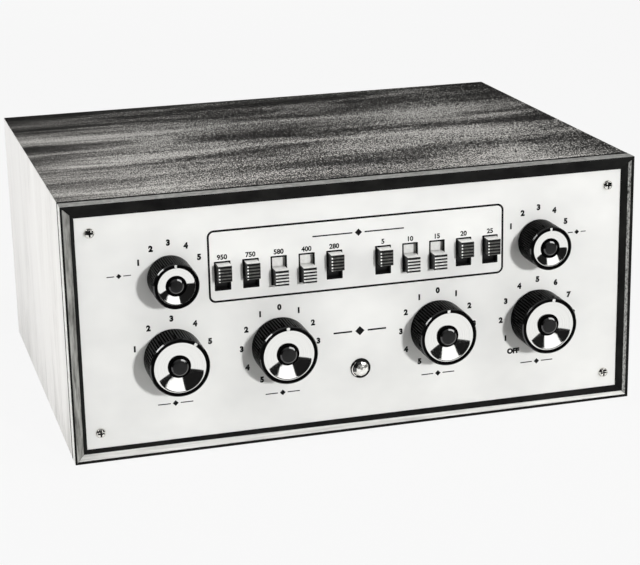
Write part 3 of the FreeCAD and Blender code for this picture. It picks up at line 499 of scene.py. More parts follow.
def makeSpun():
    # spun aluminium, turned and lacquered: the rings round its axis draw each reflection out into a fan
    material, shader = newMaterial(
        "spunAluminiumInsert", {"Metallic": 1.0, "Anisotropic": 0.9, "Anisotropic Rotation": 0.25}
    )
    polar = addNode(material, "ShaderNodeUVMap", {"uv_map": "turning"})
    parts = addNode(material, "ShaderNodeSeparateXYZ", None, {"Vector": polar})
    rings = addNode(
        material,
        "ShaderNodeTexNoise",
        {"noise_dimensions": "1D", "Scale": spunValues["rings"], "Detail": 2.0},
        {"W": (parts, "Y")},
    )
    low, high = spunValues["roughness"]
    stops = list(zip((0.3, 0.7), spunValues["tones"]))
    tone = addNode(material, "ShaderNodeValToRGB", None, {"Fac": rings}, stops)
    sheen = addNode(material, "ShaderNodeMapRange", {"To Min": low, "To Max": high}, {"Value": rings})
    tangent = addNode(material, "ShaderNodeTangent", {"direction_type": "UV_MAP", "uv_map": "turning"})
    bump = addNode(material, "ShaderNodeBump", {"Distance": mm(0.01), "Strength": 0.15}, {"Height": rings})
    addNode(
        material,
        shader,
        None,
        {"Base Color": tone, "Roughness": sheen, "Normal": bump, "Tangent": tangent},
    )
    return material


spunAluminium = makeSpun()
print("materials mixed")

# the wooden case and its moulding

caseValues = {
    "boardEdge": 0.35,
    "mouldingEdge": 0.12,
    "joint": -102.7,  # behind this the moulding's joint to the boards is filled black
    "lip": 4.55,  # further in than this is the lip
    "turned": -0.2,  # a face with more than this of its normal to the back is an outer side
    # each member of the moulding: a point on its outer edge, the way in from there, where its streak starts,
    # where it ends and how that end leans, and the finishes of its outer part, streak, inner part, lip and
    # outer side; these finishes paint the moulding's reflections and shade: a painted contact shadow along
    # the bottom's outer edge, painted bright and dark reflections on the bevels, and painted light on the top
    # and the outer sides
    "mouldings": {
        "moulding_top": ((0, 0, 132), (0, 0, -1), (1.05, 1.05, 0), (0, 0, 0, 0, 4)),
        "moulding_bottom": ((0, 0, 0), (0, 0, 1), (1.65, 4.15, -0.0045), (0, 3, 0, 0, 0)),
        "moulding_left": ((-149, 0, 0), (1, 0, 0), (1.05, 1.05, 0), (0, 1, 1, 0, 3)),
        "moulding_right": ((149, 0, 0), (-1, 0, 0), (1.8, 3.2, 0), (0, 2, 0, 0, 3)),
    },
}

for board, finish in (
    ("cabinet_top", topVeneer),
    ("cabinet_left_side", litSideVeneer),
    ("cabinet_right_side", litSideVeneer),
    ("cabinet_bottom", underVeneer),
):
    piece = tracedFrom(board, board + "_veneered")
    soften(piece, caseValues["boardEdge"])
    smoothed(piece)
    dressed(piece, "cabinet", [finish])


def mouldingChoice(edge, inward, streak, bands):
    start, end, lean = streak

    def choose(face):
        depth = (face.center * 1000 - edge).dot(inward)
        if depth > caseValues["lip"]:
            return bands[3]
        if face.normal.y > caseValues["turned"]:
            return bands[4] if face.center.y < mm(caseValues["joint"]) else 0
        if depth < start:
            return bands[0]
        return bands[1] if depth < end + lean * face.center.x * 1000 else bands[2]

    return choose


# the painted tones of one lacquered moulding: black, painted grey reflection, painted shade, painted bright
# reflection and painted top light
mouldingFinishes = [blackAndPaintedShade, mouldingGreyReflection, shadedMoulding, mouldingBrightReflection, mouldingTopLight]
for member, (edge, inward, streak, bands) in caseValues["mouldings"].items():
    edge, inward = Vector(edge), Vector(inward)
    start, end, lean = streak
    piece = tracedFrom(member, member + "_polished")
    cutAcross((0, mm(caseValues["joint"]), 0), (0, 1, 0))
    if start < end:
        cutAcross((edge + inward * start) / 1000, inward)
        cutAcross((edge + inward * end) / 1000, inward - Vector((lean, 0, 0)))
    bpy.ops.object.mode_set(mode="OBJECT")
    soften(piece, caseValues["mouldingEdge"])
    smoothed(piece)
    dressed(piece, "cabinet", mouldingFinishes, mouldingChoice(edge, inward, streak, bands))
print("case and moulding done")

panelValues = {
    "front": -108.0,
    "edge": 0.18,
    "slotRow": 89.4,
    "slots": (76.0, 7.2),  # half the length and half the height of the row of slots
    "thickness": (-107.99, -106.01),  # the slots' walls lie between these
}


def panelChoice(face):  # painted shade: the walls of the slots are painted black
    x, y, z = face.center * 1000
    far, high = panelValues["slots"]
    front, back = panelValues["thickness"]
    inSlots = abs(z - panelValues["slotRow"]) < high and abs(x) < far and front < y < back
    return 1 if inSlots and face.normal.y > -0.95 else 0


piece = tracedFrom("front_panel", "front_panel_enamelled")
soften(piece, panelValues["edge"], 1)
smoothed(piece)
dressed(piece, "cabinet", [panelEnamel, blackAndPaintedShade], panelChoice)
print("panel done")

knobValues = {
    "large": (15.0, 4.4),  # radius, and the hub's
    "small": (11.4, 3.8),
    "back": -108.8,
    "front": -125.3,
    "rim": 2.0,
    "rimDrop": 0.8,
    "rimEdge": (0.45, 0.64),  # inward and back
    "dish": 4.2,
    "collar": 1.4,
    "collarHigh": 2.1,
    "collarEdge": (0.25, 0.05),  # its edge, and how much it rises from there to the hub
    # inward and forward, up the dome
    "hubSteps": [(0.1, 0.6), (0.7, 0.63), (0.2, 0.05), (0.8, 0.07), (1.2, 0.04)],
    "hubSunk": 0.25,  # how far its face is behind the rim's
    "hubDeep": 2.0,  # how far back its edges are polished
    "flutes": 64,  # each two faces wide, with a ridge as wide
    "fluteDepth": 0.4,
    "fluteWall": 0.1,
    "frontLand": 1.3,  # plain bands in front of the flutes and behind them
    "backLand": 1.0,
    "notch": (2.2, 0.3),  # the index notch: half its width in faces of the rim, and its depth
    "nutRecess": (8.4, 4.0),  # radius and depth
    "shaftHole": (3.2, 8.6),
}
controls = {  # x, z, clockwise turn of the index at rest, and size
    "low_filter": (-97.0, 91.4, 0.0, "small"),
    "selector": (-97.0, 50.0, 36.0, "large"),
    "bass": (-42.0, 50.0, 0.0, "large"),
    "treble": (42.0, 50.0, 0.0, "large"),
    "volume": (97.0, 50.0, 9.0, "large"),
    "loudness": (97.0, 91.4, 0.0, "small"),
}


def fromAxis(place):  # how far a place is from the knob's axis
    return math.hypot(place.x, place.z) * 1000


def makeKnob(name, radius, hub):
    v = knobValues
    sides = v["flutes"] * 4
    step = 2 * math.pi / sides
    edgeWide, edgeBack = v["rimEdge"]
    collarWide, collarRise = v["collarEdge"]
    notchHalf, notchDeep = v["notch"]
    gripFront, gripBack = v["front"] + v["frontLand"], v["back"] - v["backLand"]
    clearSelection()
    bpy.ops.mesh.primitive_cylinder_add(
        vertices=sides,
        radius=mm(radius),
        depth=mm(v["back"] - v["front"] - edgeBack),
        location=(0, mm((v["back"] + v["front"] + edgeBack) / 2), 0),
        rotation=(math.pi / 2, step / 2, 0),
    )
    knob = started(name)
    cutAcross((0, mm(gripFront), 0), (0, 1, 0))
    cutAcross((0, mm(gripBack), 0), (0, 1, 0))

    def isFlute(face):
        middle = face.calc_center_median()
        onGrip = abs(face.normal.y) < 0.1 and mm(gripFront) < middle.y < mm(gripBack)
        return onGrip and round(math.atan2(middle.x, middle.z) / step) % 4 < 2

    def isNotch(face):
        middle = face.calc_center_median()
        onRim = face.normal.y < -0.99 and radius - v["rim"] < fromAxis(middle) < radius - edgeWide
        return onRim and abs(math.atan2(middle.x, middle.z)) < notchHalf * step

    pick(knob, isFlute)
    bpy.ops.mesh.inset(thickness=mm(v["fluteWall"]), depth=-mm(v["fluteDepth"]))
    pick(knob, lambda f: f.normal.y < -0.99 and len(f.verts) == sides)  # the front: rim, dish, collar and hub
    bpy.ops.mesh.inset(thickness=mm(edgeWide), depth=mm(edgeBack))
    bpy.ops.mesh.inset(thickness=mm(v["rim"] - edgeWide))
    extrudeBack(v["rimDrop"])
    bpy.ops.mesh.inset(thickness=mm(radius - v["rim"] - hub - v["collar"]), depth=-mm(v["dish"]))
    extrudeBack(-v["collarHigh"])
    bpy.ops.mesh.inset(thickness=mm(collarWide), depth=mm(collarWide))
    bpy.ops.mesh.inset(thickness=mm(v["collar"] - collarWide), depth=mm(collarRise))
    domeHigh = sum(high for wide, high in v["hubSteps"]) + collarWide + collarRise
    extrudeBack(domeHigh + v["hubSunk"] + v["collarHigh"] - v["dish"] - v["rimDrop"])
    for wide, high in v["hubSteps"]:
        bpy.ops.mesh.inset(thickness=mm(wide), depth=mm(high))
    pick(knob, lambda f: f.normal.y > 0.99 and len(f.verts) == sides)  # the back, round the nut and the shaft
    nutRadius, nutDeep = v["nutRecess"]
    shaftRadius, shaftDeep = v["shaftHole"]
    bpy.ops.mesh.inset(thickness=mm(radius - nutRadius))
    extrudeBack(-nutDeep)
    bpy.ops.mesh.inset(thickness=mm(nutRadius - shaftRadius))
    extrudeBack(-shaftDeep)
    pick(knob, isNotch)
    extrudeBack(notchDeep)
    bpy.ops.object.mode_set(mode="OBJECT")
    smoothed(knob, 18)

    def chooseKnob(face):
        out, behind = fromAxis(face.center), face.center.y * 1000 - v["front"]
        if face.normal.y < -0.9 and abs(behind - notchDeep) < 0.1 and out > radius - v["rim"]:
            return 1
        if behind < v["hubDeep"] and out < hub:
            return 3 if face.normal.y < -0.8 else 2  # the hub's face is dull and its edge polished
        if mm(gripFront) < face.center.y < mm(gripBack) and out > radius - 1:
            # the ridges, and the flutes painted as shade
            return 4 if out > radius - v["fluteWall"] else 5
        return 2 if face.normal.y < -0.15 and out > radius - edgeWide else 0

    finishes = [knobPhenolic, whiteFillAndGlint, buffedPhenolic, buttonPlastic, ridgePhenolic, fluteShadePhenolic]
    return painted(knob, finishes, chooseKnob)


insertValues = {
    "front": -125.0,
    "gap": 0.05,  # to the rim and to the collar
    "slope": 0.32,
    "thick": 0.35,
    "lip": 0.45,
    "sides": 144,
    "rings": 10,
    "bowl": 0.2,  # how much of the fall is bowl rather than cone
}


def makeInsert(name, radius, hub):
    v = insertValues
    edge = radius - knobValues["rim"] - v["gap"]
    run = edge - v["lip"] - hub - knobValues["collar"] - v["gap"]
    clearSelection()
    bpy.ops.mesh.primitive_circle_add(
        vertices=v["sides"],
        radius=mm(edge),
        fill_type="NGON",
        location=(0, mm(v["front"]), 0),
        rotation=(math.pi / 2, 0, 0),
    )
    insert = started(name)
    pick(insert, lambda f: True)
    bpy.ops.mesh.inset(thickness=mm(v["lip"]))
    shares = [i / v["rings"] for i in range(v["rings"] + 1)]
    falls = [v["slope"] * run * ((1 - v["bowl"]) * s + v["bowl"] * math.sin(s * math.pi / 2)) for s in shares]
    for before, after in zip(falls, falls[1:]):
        bpy.ops.mesh.inset(thickness=mm(run / v["rings"]), depth=-mm(after - before))
    bpy.ops.mesh.delete(type="FACE")
    bpy.ops.object.mode_set(mode="OBJECT")
    thickened(insert, v["thick"])
    smoothed(insert, 40)
    return painted(insert, [spunAluminium])


def unwrapRound(piece, x, z, edge):  # u runs clockwise round the axis, v out from it to 1 at the edge
    turning = piece.data.uv_layers.new(name="turning")
    for face in piece.data.polygons:
        middle = math.atan2(face.center.x - x, face.center.z - z)
        for corner in face.loop_indices:
            place = piece.data.vertices[piece.data.loops[corner].vertex_index].co
            angle = math.atan2(place.x - x, place.z - z)
            angle += 2 * math.pi * round((middle - angle) / (2 * math.pi))
            turning.data[corner].uv = (angle / (2 * math.pi), math.hypot(place.x - x, place.z - z) / edge)


masters = {}
for size in ("large", "small"):
    knob = makeKnob(size + "KnobMaster", *knobValues[size])
    masters[size] = (knob, makeInsert(size + "InsertMaster", *knobValues[size]))
for control, (x, z, turn, size) in controls.items():
    knob, insert = masters[size]
    knobPiece = repeated(knob, control + "_knob_fluted", x, z, turn)
    insertPiece = repeated(insert, control + "_insert_spun", x, z, turn)
    unwrapRound(insertPiece, mm(x), mm(z), mm(knobValues[size][0] - knobValues["rim"]))
    for piece, slotName, node in (
        (knobPiece, "black_plastic", control + "_knob"),
        (insertPiece, "spun_aluminium", control + "_insert"),
    ):
        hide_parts(node)
        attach(piece, control + "_rotor")
for pair in masters.values():
    for master in pair:
        bpy.data.objects.remove(master)
print("knobs done")

buttonValues = {
    "width": 6.8,
    "height": 8.2,
    "front": -114.5,
    "capEdge": 0.14,
    "grooves": 5,
    "grooveWide": 0.8,
    "grooveDeep": 0.7,
    "ribEnds": 0.8,  # how far in from the left the ribs' ends are painted white, as painted glints
    "ribsHigh": 3.6,  # the painted highlight on the ribs ends here, up from the middle
    # the plate behind the panel, the stem and the carriage: their ranges across, back and up
    "plate": ((-4.6, 4.6), (-105.4, -104.4), (-10, 10)),
    "plateCorner": 0.6,
    "stem": ((-1.5, 1.5), (-104.4, -99.4), (-2, 2)),
    "carriage": ((-3.2, 3.2), (-99.4, -94.4), (-4, 4)),
    "columns": [-70.4, -56.0, -41.6, -27.2, -12.8, 12.8, 27.2, 41.6, 56.0, 70.4],
    "down": [3, 4, 7, 8],
    "travel": 5.2,
}


def makeBox(name, x, y, z):  # a block from ranges
    clearSelection()
    bpy.ops.mesh.primitive_cube_add(
        size=1,
        location=(mm(sum(x) / 2), mm(sum(y) / 2), mm(sum(z) / 2)),
        scale=(mm(x[1] - x[0]), mm(y[1] - y[0]), mm(z[1] - z[0])),
    )
    return started(name)


def makeButton():
    v = buttonValues
    half, wide = v["height"] / 2, v["width"] / 2
    cap = makeBox("buttonCap", (-wide, wide), (v["front"], v["plate"][1][0]), (-half, half))
    grooves = [((i + 0.5) / v["grooves"] - 0.5) * v["height"] for i in range(v["grooves"])]
    for middle in grooves:
        for side in (-0.5, 0.5):
            cutAcross((0, 0, mm(middle + side * v["grooveWide"])), (0, 0, 1))

    def isGroove(face):
        high = face.calc_center_median().z * 1000
        return face.normal.y < -0.9 and any(abs(high - middle) < 0.1 for middle in grooves)

    pick(cap, isGroove)
    extrudeBack(v["grooveDeep"])
    cutAcross((mm(v["ribEnds"] - wide), 0, 0), (1, 0, 0))
    bpy.ops.object.mode_set(mode="OBJECT")
    soften(cap, v["capEdge"])
    plate = makeBox("buttonPlate", *v["plate"])
    cutAcross((0, 0, 0), (0, 0, 1))  # white above, black below
    pick(plate, lambda e: abs((e.verts[0].co - e.verts[1].co).normalized().y) > 0.9, "EDGE")
    bpy.ops.mesh.bevel(offset=mm(v["plateCorner"]), segments=3, affect="EDGES")
    bpy.ops.object.mode_set(mode="OBJECT")
    stem = makeBox("buttonStem", *v["stem"])
    soften(stem, 0.2)
    carriage = makeBox("buttonCarriage", *v["carriage"])
    soften(carriage, 0.4)
    button = joined([cap, plate, stem, carriage], "buttonMaster")
    smoothed(button, 30)
    return button


def buttonChoice(middle, rise, isDown):
    v = buttonValues

    def choose(face):
        x, y, z = face.center * 1000 - Vector((middle, 0, rise))
        if y > v["plate"][1][0] - 0.1:
            return 1 if z > 0 and face.normal.y < -0.5 else 0
        # painted highlight on the cap's top
        if face.normal.z > 0.8 and z > v["height"] / 2 - 0.2 and y < panelValues["front"] - 0.2:
            return 2
        # painted highlights on the ribs, with painted glints on their left ends
        if face.normal.y < -0.8 and y < v["front"] + 0.1 and z < v["ribsHigh"]:
            if x < v["ribEnds"] + 0.05 - v["width"] / 2:
                return 1
            return 3 if isDown else 4
        return 0

    return choose


button = makeButton()
# black plastic, white, and the painted highlights on the caps' tops and ribs
buttonFinishes = [buttonPlastic, whiteFillAndGlint, capTopHighlight, pressedRibHighlight, raisedRibHighlight]
for i, x in enumerate(buttonValues["columns"], 1):
    isDown = i in buttonValues["down"]
    rise = panelValues["slotRow"] + buttonValues["travel"] / 2 * (-1 if isDown else 1)
    piece = repeated(button, "slide_button_%d_ribbed" % i, x, rise)
    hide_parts("slide_button_%d" % i)
    dressed(piece, "button_%d" % i, buttonFinishes, buttonChoice(x, rise, isDown))
bpy.data.objects.remove(button)
print("buttons done")

pilotValues = {
    "x": 0.0,
    "z": 32.9,
    "radius": 4.2,
    "facets": 10,
    "back": -107.0,
    "thick": 2.2,
    "steps": [(0.45, 0.55), (0.8, 0.8), (1.1, 0.5), (1.0, 0.22)],  # inward and forward, up the facets
    "point": 0.15,
    "edge": 0.06,
    "seatRing": 3.8,  # outside this the glass lies in the shadow of its seat
    "darkReflectionFacets": (2.9, 235, 350),  # the facets painted as dark reflections: from this far out, between these angles clockwise from the top
    "bezelEdge": 0.12,
    "bareNickel": (215, 322),  # the bezel is painted black as painted dark reflection, but between these angles its front shows the bare nickel
    "brightRing": 4.95,
}


def makeJewel():
    v = pilotValues
    clearSelection()
    bpy.ops.mesh.primitive_cylinder_add(
        vertices=v["facets"],
        radius=mm(v["radius"]),
        depth=mm(v["thick"]),
        location=(mm(v["x"]), mm(v["back"] - v["thick"] / 2), mm(v["z"])),
        rotation=(math.pi / 2, 0, 0),
    )
    jewel = started("pilot_jewel_faceted")
    pick(jewel, lambda f: f.normal.y < -0.9)
    for wide, high in v["steps"]:
        bpy.ops.mesh.inset(thickness=mm(wide), depth=mm(high))
    bpy.ops.mesh.poke(offset=mm(v["point"]))
    bpy.ops.object.mode_set(mode="OBJECT")
    soften(jewel, v["edge"], 1, 12)
    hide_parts("pilot_jewel")
    return jewel


def fromPilot(face):  # how far a face is from the light's axis, and at what angle clockwise from the top
    across = face.center.x * 1000 - pilotValues["x"]
    up = face.center.z * 1000 - pilotValues["z"]
    return math.hypot(across, up), math.degrees(math.atan2(across, up)) % 360


def jewelChoice(face):
    out, angle = fromPilot(face)
    start, low, high = pilotValues["darkReflectionFacets"]
    if out > pilotValues["seatRing"]:
        return 1
    # painted dark reflection on the facets at the left
    return 2 if out > start and low < angle < high else 0


def bezelChoice(face):
    out, angle = fromPilot(face)
    low, high = pilotValues["bareNickel"]
    # painted dark reflection: black all over the bezel but for its front within the bright ring between these
    # angles
    return 0 if face.normal.y < -0.2 and out < pilotValues["brightRing"] and low < angle < high else 1


dressed(makeJewel(), "cabinet", [jewelGlass, blackAndPaintedShade, facetDarkReflection], jewelChoice)
piece = tracedFrom("pilot_bezel", "pilot_bezel_turned")
for angle in pilotValues["bareNickel"]:
    aside = math.radians(angle)
    cutAcross((mm(pilotValues["x"]), 0, mm(pilotValues["z"])), (math.cos(aside), 0, -math.sin(aside)))
bpy.ops.object.mode_set(mode="OBJECT")
soften(piece, pilotValues["bezelEdge"], 1)
smoothed(piece)
dressed(piece, "cabinet", [nickel, blackAndPaintedShade], bezelChoice)


screwValues = {
    "column": 135.2,  # to either side of the middle
    "rows": (14.6, 117.4),
    "edge": 0.08,
    "recess": (1.7, -109.45, -108.1),  # the cross recess, painted dark as painted shade: how far out, and from where to where it is dark
}


def screwChoice(face):
    x, y, z = face.center * 1000
    reach, front, back = screwValues["recess"]
    out = math.hypot(abs(x) - screwValues["column"], min(abs(z - row) for row in screwValues["rows"]))
    return 1 if out < reach and front < y < back else 0


piece = tracedFrom("panel_screws", "panel_screws_domed")
soften(piece, screwValues["edge"], 1)
smoothed(piece)
dressed(piece, "cabinet", [nickel, blackAndPaintedShade], screwChoice)
print("pilot light and screws done")


def evenMarks(first, step, count):  # numbers from 1, at even angles clockwise from the top
    return [(str(i + 1), first + step * i) for i in range(count)]


centredMarks = [("0", 0)] + [(str(i), side * 30 * i) for i in range(1, 6) for side in (-1, 1)]
printValues = {
    "lift": 0.03,
    # each dial: its control, how far out its figures stand, their height, and each figure with its angle
    "dials": [
        ("low_filter", 17.5, 2.7, evenMarks(-60, 30, 5)),
        ("loudness", 17.5, 2.7, evenMarks(-60, 30, 5)),
        ("bass", 20.0, 2.7, centredMarks),
        ("treble", 20.0, 2.7, centredMarks),
        ("volume", 20.3, 2.7, evenMarks(-120, 30, 10)),
        ("volume", 22.0, 2.6, [("OFF", -143)]),
        ("selector", 20.0, 2.7, evenMarks(-72, 36, 5)),
    ],
    "dialWeight": 0.27,
    "slotHeight": 2.4,
    "slotWeight": 0.13,
    "slotLine": 98.9,
    "slotFigures": ["950", "750", "580", "400", "280", "5", "10", "15", "20", "25"],
    # half width, low, high, corner, line
    "border": (77.7, 75.8, 113.0, 3.5, 1.05),
    "slotFrame": (4.2, 81.9, 96.9, 0.3, 0.8),
    # each lozenge between two lines: x, z, how far the lines reach, and how thick it is
    "marks": [
        (0.0, 105.0, 24.0, 1.0),
        (0.0, 53.0, 14.0, 1.3),
        (-122.0, 94.4, 6.0, 0.7),
        (118.5, 93.9, 5.0, 0.7),
        (-96.8, 25.7, 9.0, 0.8),
        (-41.4, 24.6, 9.0, 0.8),
        (42.0, 25.2, 9.0, 0.8),
        (97.0, 25.4, 9.0, 0.8),
    ],
    # in shares of that thickness: half the lozenge, where the lines start, and half a line's height
    "markShares": (1.9, 3.2, 1 / 3),
}


def printFigure(text, x, z, height, weight):
    clearSelection()
    bpy.ops.object.text_add(location=(0, 0, 0))
    figure = bpy.context.object
    figure.data.body = text
    figure.data.align_x = "CENTER"
    figure.data.align_y = "CENTER"
    figure.data.size = mm(height / 0.7)  # the font's figures are this share of its size
    figure.data.offset = mm(weight)
    figure.data.extrude = mm(printValues["lift"])
    figure.data.resolution_u = 4
    bpy.ops.object.convert(target="MESH")
    figure = bpy.context.object
    figure.rotation_euler = (math.pi / 2, 0, 0)
    figure.location = (mm(x), mm(panelValues["front"]), mm(z))
    bpy.ops.object.transform_apply(location=True, rotation=True, scale=True)
    return figure


figures = []
for control, radius, height, marks in printValues["dials"]:
    x, z = controls[control][:2]
    for text, angle in marks:
        across, up = radius * math.sin(math.radians(angle)), radius * math.cos(math.radians(angle))
        figures.append(printFigure(text, x + across, z + up, height, printValues["dialWeight"]))
high, weight = printValues["slotHeight"], printValues["slotWeight"]
for text, x in zip(printValues["slotFigures"], buttonValues["columns"]):
    figures.append(printFigure(text, x, printValues["slotLine"], high, weight))
dressed(joined(figures, "panel_figures"), "cabinet", [printInk])


def makeFrame(name, half, low, high, corner, line):  # a rounded frame, centred across
    clearSelection()
    bpy.ops.mesh.primitive_plane_add(
        size=1,
        location=(0, mm(panelValues["front"] - printValues["lift"]), mm((low + high) / 2)),
        rotation=(math.pi / 2, 0, 0),
    )
    bpy.context.object.scale = (mm(2 * half), mm(high - low), 1)
    border = started(name)
    pick(border, lambda v: True, "VERT")
    bpy.ops.mesh.bevel(offset=mm(corner), segments=8, affect="VERTICES")
    pick(border, lambda f: True)
    bpy.ops.mesh.inset(thickness=mm(line))
    bpy.ops.mesh.delete(type="FACE")
    bpy.ops.object.mode_set(mode="OBJECT")
    thickened(border, printValues["lift"])
    return border


dressed(makeFrame("panel_border", *printValues["border"]), "cabinet", [printInk])
slotFrame = makeFrame("slotFrameMaster", *printValues["slotFrame"])
slotFrames = [repeated(slotFrame, "slotFrame%d" % i, x, 0) for i, x in enumerate(buttonValues["columns"])]
bpy.data.objects.remove(slotFrame)
dressed(joined(slotFrames, "slot_frames"), "cabinet", [printInk])


def makeMark(x, z, reach, thick):  # a plain lozenge between two fine lines
    parts = []
    half, start, high = [thick * share for share in printValues["markShares"]]
    y = (panelValues["front"] - printValues["lift"], panelValues["front"])
    for side in (-1, 1):
        ends = sorted((x + side * start, x + side * reach))
        parts.append(makeBox("markLine", ends, y, (z - high, z + high)))
    clearSelection()
    bpy.ops.mesh.primitive_cylinder_add(
        vertices=4,
        radius=mm(half),
        depth=mm(printValues["lift"]),
        location=(mm(x), mm(sum(y) / 2), mm(z)),
        rotation=(math.pi / 2, 0, 0),
    )
    lozenge = started("markLozenge")
    pick(lozenge, lambda f: f.normal.y < -0.9)
    bpy.ops.mesh.inset(thickness=mm(thick * 0.1))
    bpy.ops.object.mode_set(mode="OBJECT")
    return parts + [lozenge]


marks = []
for mark in printValues["marks"]:
    marks += makeMark(*mark)
dressed(joined(marks, "panel_marks"), "cabinet", [printInk])
print("printing done")

# the rear sockets, and finishes for the CAD nodes that stay

socketValues = {
    "columns": (-110, -88, -66, -44, -22),
    "rows": (32, 56),
    "bore": 3.3,  # inside this a jack is dark, from the flange back
    "flange": 97,
    "face": 98.8,  # the jacks' rear faces lie further back than this
    "lip": 0.7,
    "sunk": 0.5,
    "inletEdge": 0.2,
}


def jackChoice(face):
    v = socketValues
    x, y, z = face.center * 1000
    out = min(math.hypot(x - column, z - row) for column in v["columns"] for row in v["rows"])
    return 1 if out < v["bore"] and y > v["flange"] and face.normal.y > 0.5 else 0


piece = tracedFrom("signal_jacks", "signal_jacks_turned")
pick(piece, lambda f: f.normal.y > 0.95 and f.calc_center_median().y > mm(socketValues["face"]))
bpy.ops.mesh.inset(thickness=mm(socketValues["lip"]))
extrudeBack(-socketValues["sunk"])
bpy.ops.object.mode_set(mode="OBJECT")
smoothed(piece)
dressed(piece, "cabinet", [nickel, inletPhenolic], jackChoice)

piece = tracedFrom("power_inlet", "power_inlet_moulded")
soften(piece, socketValues["inletEdge"])
smoothed(piece)
dressed(piece, "cabinet", [inletPhenolic])

kept = {
    "chassis": chassisSteel,
    "chassis_screws": zincSteel,
    "control_nuts": nickel,
    "slide_switches": zincSteel,
    "pilot_lamp": valveGlass,
    "valve_bracket": chassisSteel,
    "valve_sockets": innerPhenolic,
    "valves": valveGlass,
    "valve_shields": canAluminium,
    "filter_capacitor": canAluminium,
    "tag_board": innerPhenolic,
    "coupling_capacitors": innerPhenolic,
}
for control in controls:  # each has a shaft, and either a switch or a potentiometer
    for kind in ("_shaft", "_switch", "_control"):
        kept[control + kind] = zincSteel
for name, finish in kept.items():
    if name in nodes:
        nodes[name].data.materials.clear()
        nodes[name].data.materials.append(finish)
print("rear and inner nodes finished")

studioValues = {
    "floor": "#c8c8c7",
    "floorWide": 30,  # m
    "paper": "#fdfdfd",
    "floorGlow": 0.91,  # this much of it is plain white to the eye, and the rest takes shadow
    "paperEdge": (-0.44, -0.42),  # m; in front of this the paper ends, for what gloss shows
    "paperLean": 0.5,  # and its edge leans away from the object to the right
    "worldLight": 0.11,
    "horizonGloss": 0.012,
    "zenithGloss": 0.35,
    "dome": (0.36, 0.85),  # how high gloss shows the dark low down give way to the light above
    "aim": (0, -0.05, 0.07),
    # each lamp: place in m, width and height in m, its turn about its own axis, watts, and what it is for
    "lamps": {
        "keyLamp": ((0.68, -2.5, 0.69), 0.2, 0.2, 0.0, 42.0, "light"),
        "frontBox": ((0.9, -2.9, 0.82), 1.6, 1.1, 0.0, 7.0, "gloss"),
        "rightStrip": ((0.945, -0.4, 0.89), 1.45, 0.26, -56.0, 8.5, "both"),
        "leftStrip": ((-1.19, -0.2, 1.13), 0.7, 0.26, 84.0, 5.5, "both"),
        "leftCard": ((-1.6, -0.3, 0.6), 1.0, 1.0, 0.0, 14.0, "light"),
        "backCard": ((0.4, 1.9, 0.8), 1.0, 1.0, 0.0, 10.0, "light"),
    },
}


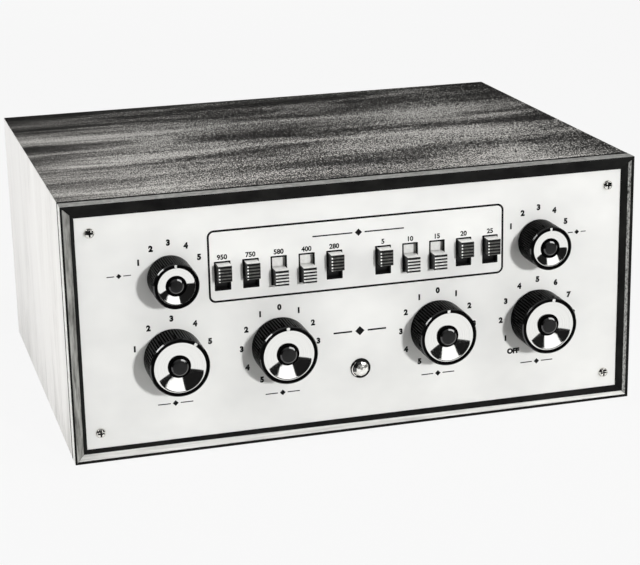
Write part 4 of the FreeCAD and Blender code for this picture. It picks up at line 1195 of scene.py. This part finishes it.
def makeStudio():
    v = studioValues
    clearSelection()
    bpy.ops.mesh.primitive_plane_add(size=v["floorWide"], location=(0, 0, 0))
    floor = started("studioFloor")
    material, shader = newMaterial("studioFloorPaper", {"Roughness": 0.9, "Base Color": linear(v["floor"])})
    path = addNode(material, "ShaderNodeLightPath")
    place = addNode(material, "ShaderNodeTexCoord")
    parts = addNode(material, "ShaderNodeSeparateXYZ", None, {"Vector": (place, "Object")})
    lean = addNode(
        material,
        "ShaderNodeMath",
        {"operation": "MULTIPLY_ADD", 1: v["paperLean"]},
        {0: (parts, "X"), 2: (parts, "Y")},
    )
    near = addNode(
        material,
        "ShaderNodeMapRange",
        {"From Min": v["paperEdge"][0], "From Max": v["paperEdge"][1], "To Min": v["horizonGloss"]},
        {"Value": lean},
    )
    seen = addNode(
        material,
        "ShaderNodeMath",
        {"operation": "MAXIMUM"},
        {0: (path, "Is Camera Ray"), 1: (path, "Is Transmission Ray")},
    )
    share = addNode(material, "ShaderNodeMath", {"operation": "MULTIPLY", 1: v["floorGlow"]}, {0: seen})
    share = addNode(
        material, "ShaderNodeMath", {"operation": "MAXIMUM"}, {0: share, 1: (path, "Is Glossy Ray")}
    )
    level = addNode(
        material, "ShaderNodeMix", {"data_type": "FLOAT", 2: 1.0}, {0: (path, "Is Glossy Ray"), 3: near}
    )
    glow = addNode(material, "ShaderNodeEmission", {"Color": linear(v["paper"])}, {"Strength": level})
    mix = addNode(material, "ShaderNodeMixShader", None, {0: share, 1: shader, 2: glow})
    addNode(material, material.node_tree.nodes["Material Output"], None, {"Surface": mix})
    floor.data.materials.append(material)

    # the world is white to the eye, even light to the object, and dark low down where gloss shows it
    world = bpy.data.worlds.new("studioWorld")
    bpy.context.scene.world = world
    world.use_nodes = True
    path = addNode(world, "ShaderNodeLightPath")
    toward = addNode(world, "ShaderNodeTexCoord")
    height = addNode(world, "ShaderNodeSeparateXYZ", None, {"Vector": (toward, "Generated")})
    low, high = v["dome"]
    dome = addNode(
        world,
        "ShaderNodeMapRange",
        {"From Min": low, "From Max": high, "To Min": v["horizonGloss"], "To Max": v["zenithGloss"]},
        {"Value": (height, "Z")},
    )
    level = addNode(
        world,
        "ShaderNodeMix",
        {"data_type": "FLOAT", 2: v["worldLight"]},
        {0: (path, "Is Glossy Ray"), 3: dome},
    )
    for kind in ("Is Camera Ray", "Is Transmission Ray"):
        level = addNode(world, "ShaderNodeMix", {"data_type": "FLOAT", 3: 1.0}, {0: (path, kind), 2: level})
    addNode(world, world.node_tree.nodes["Background"], {"Color": (1, 1, 1, 1)}, {"Strength": level})

    for name, (place, width, height, lean, watts, use) in v["lamps"].items():
        clearSelection()
        bpy.ops.object.light_add(type="AREA", location=place)
        lamp = bpy.context.object
        lamp.name = name
        lamp.data.shape = "RECTANGLE"
        lamp.data.size = width
        lamp.data.size_y = height
        lamp.data.energy = watts
        lamp.visible_camera = False
        lamp.visible_glossy = use != "light"
        lamp.visible_diffuse = use != "gloss"
        toward = (Vector(v["aim"]) - Vector(place)).to_track_quat("-Z", "Y")
        lamp.rotation_euler = (toward @ Quaternion((0, 0, 1), math.radians(lean))).to_euler()


makeStudio()
print("studio lit")

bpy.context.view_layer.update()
clearSelection()
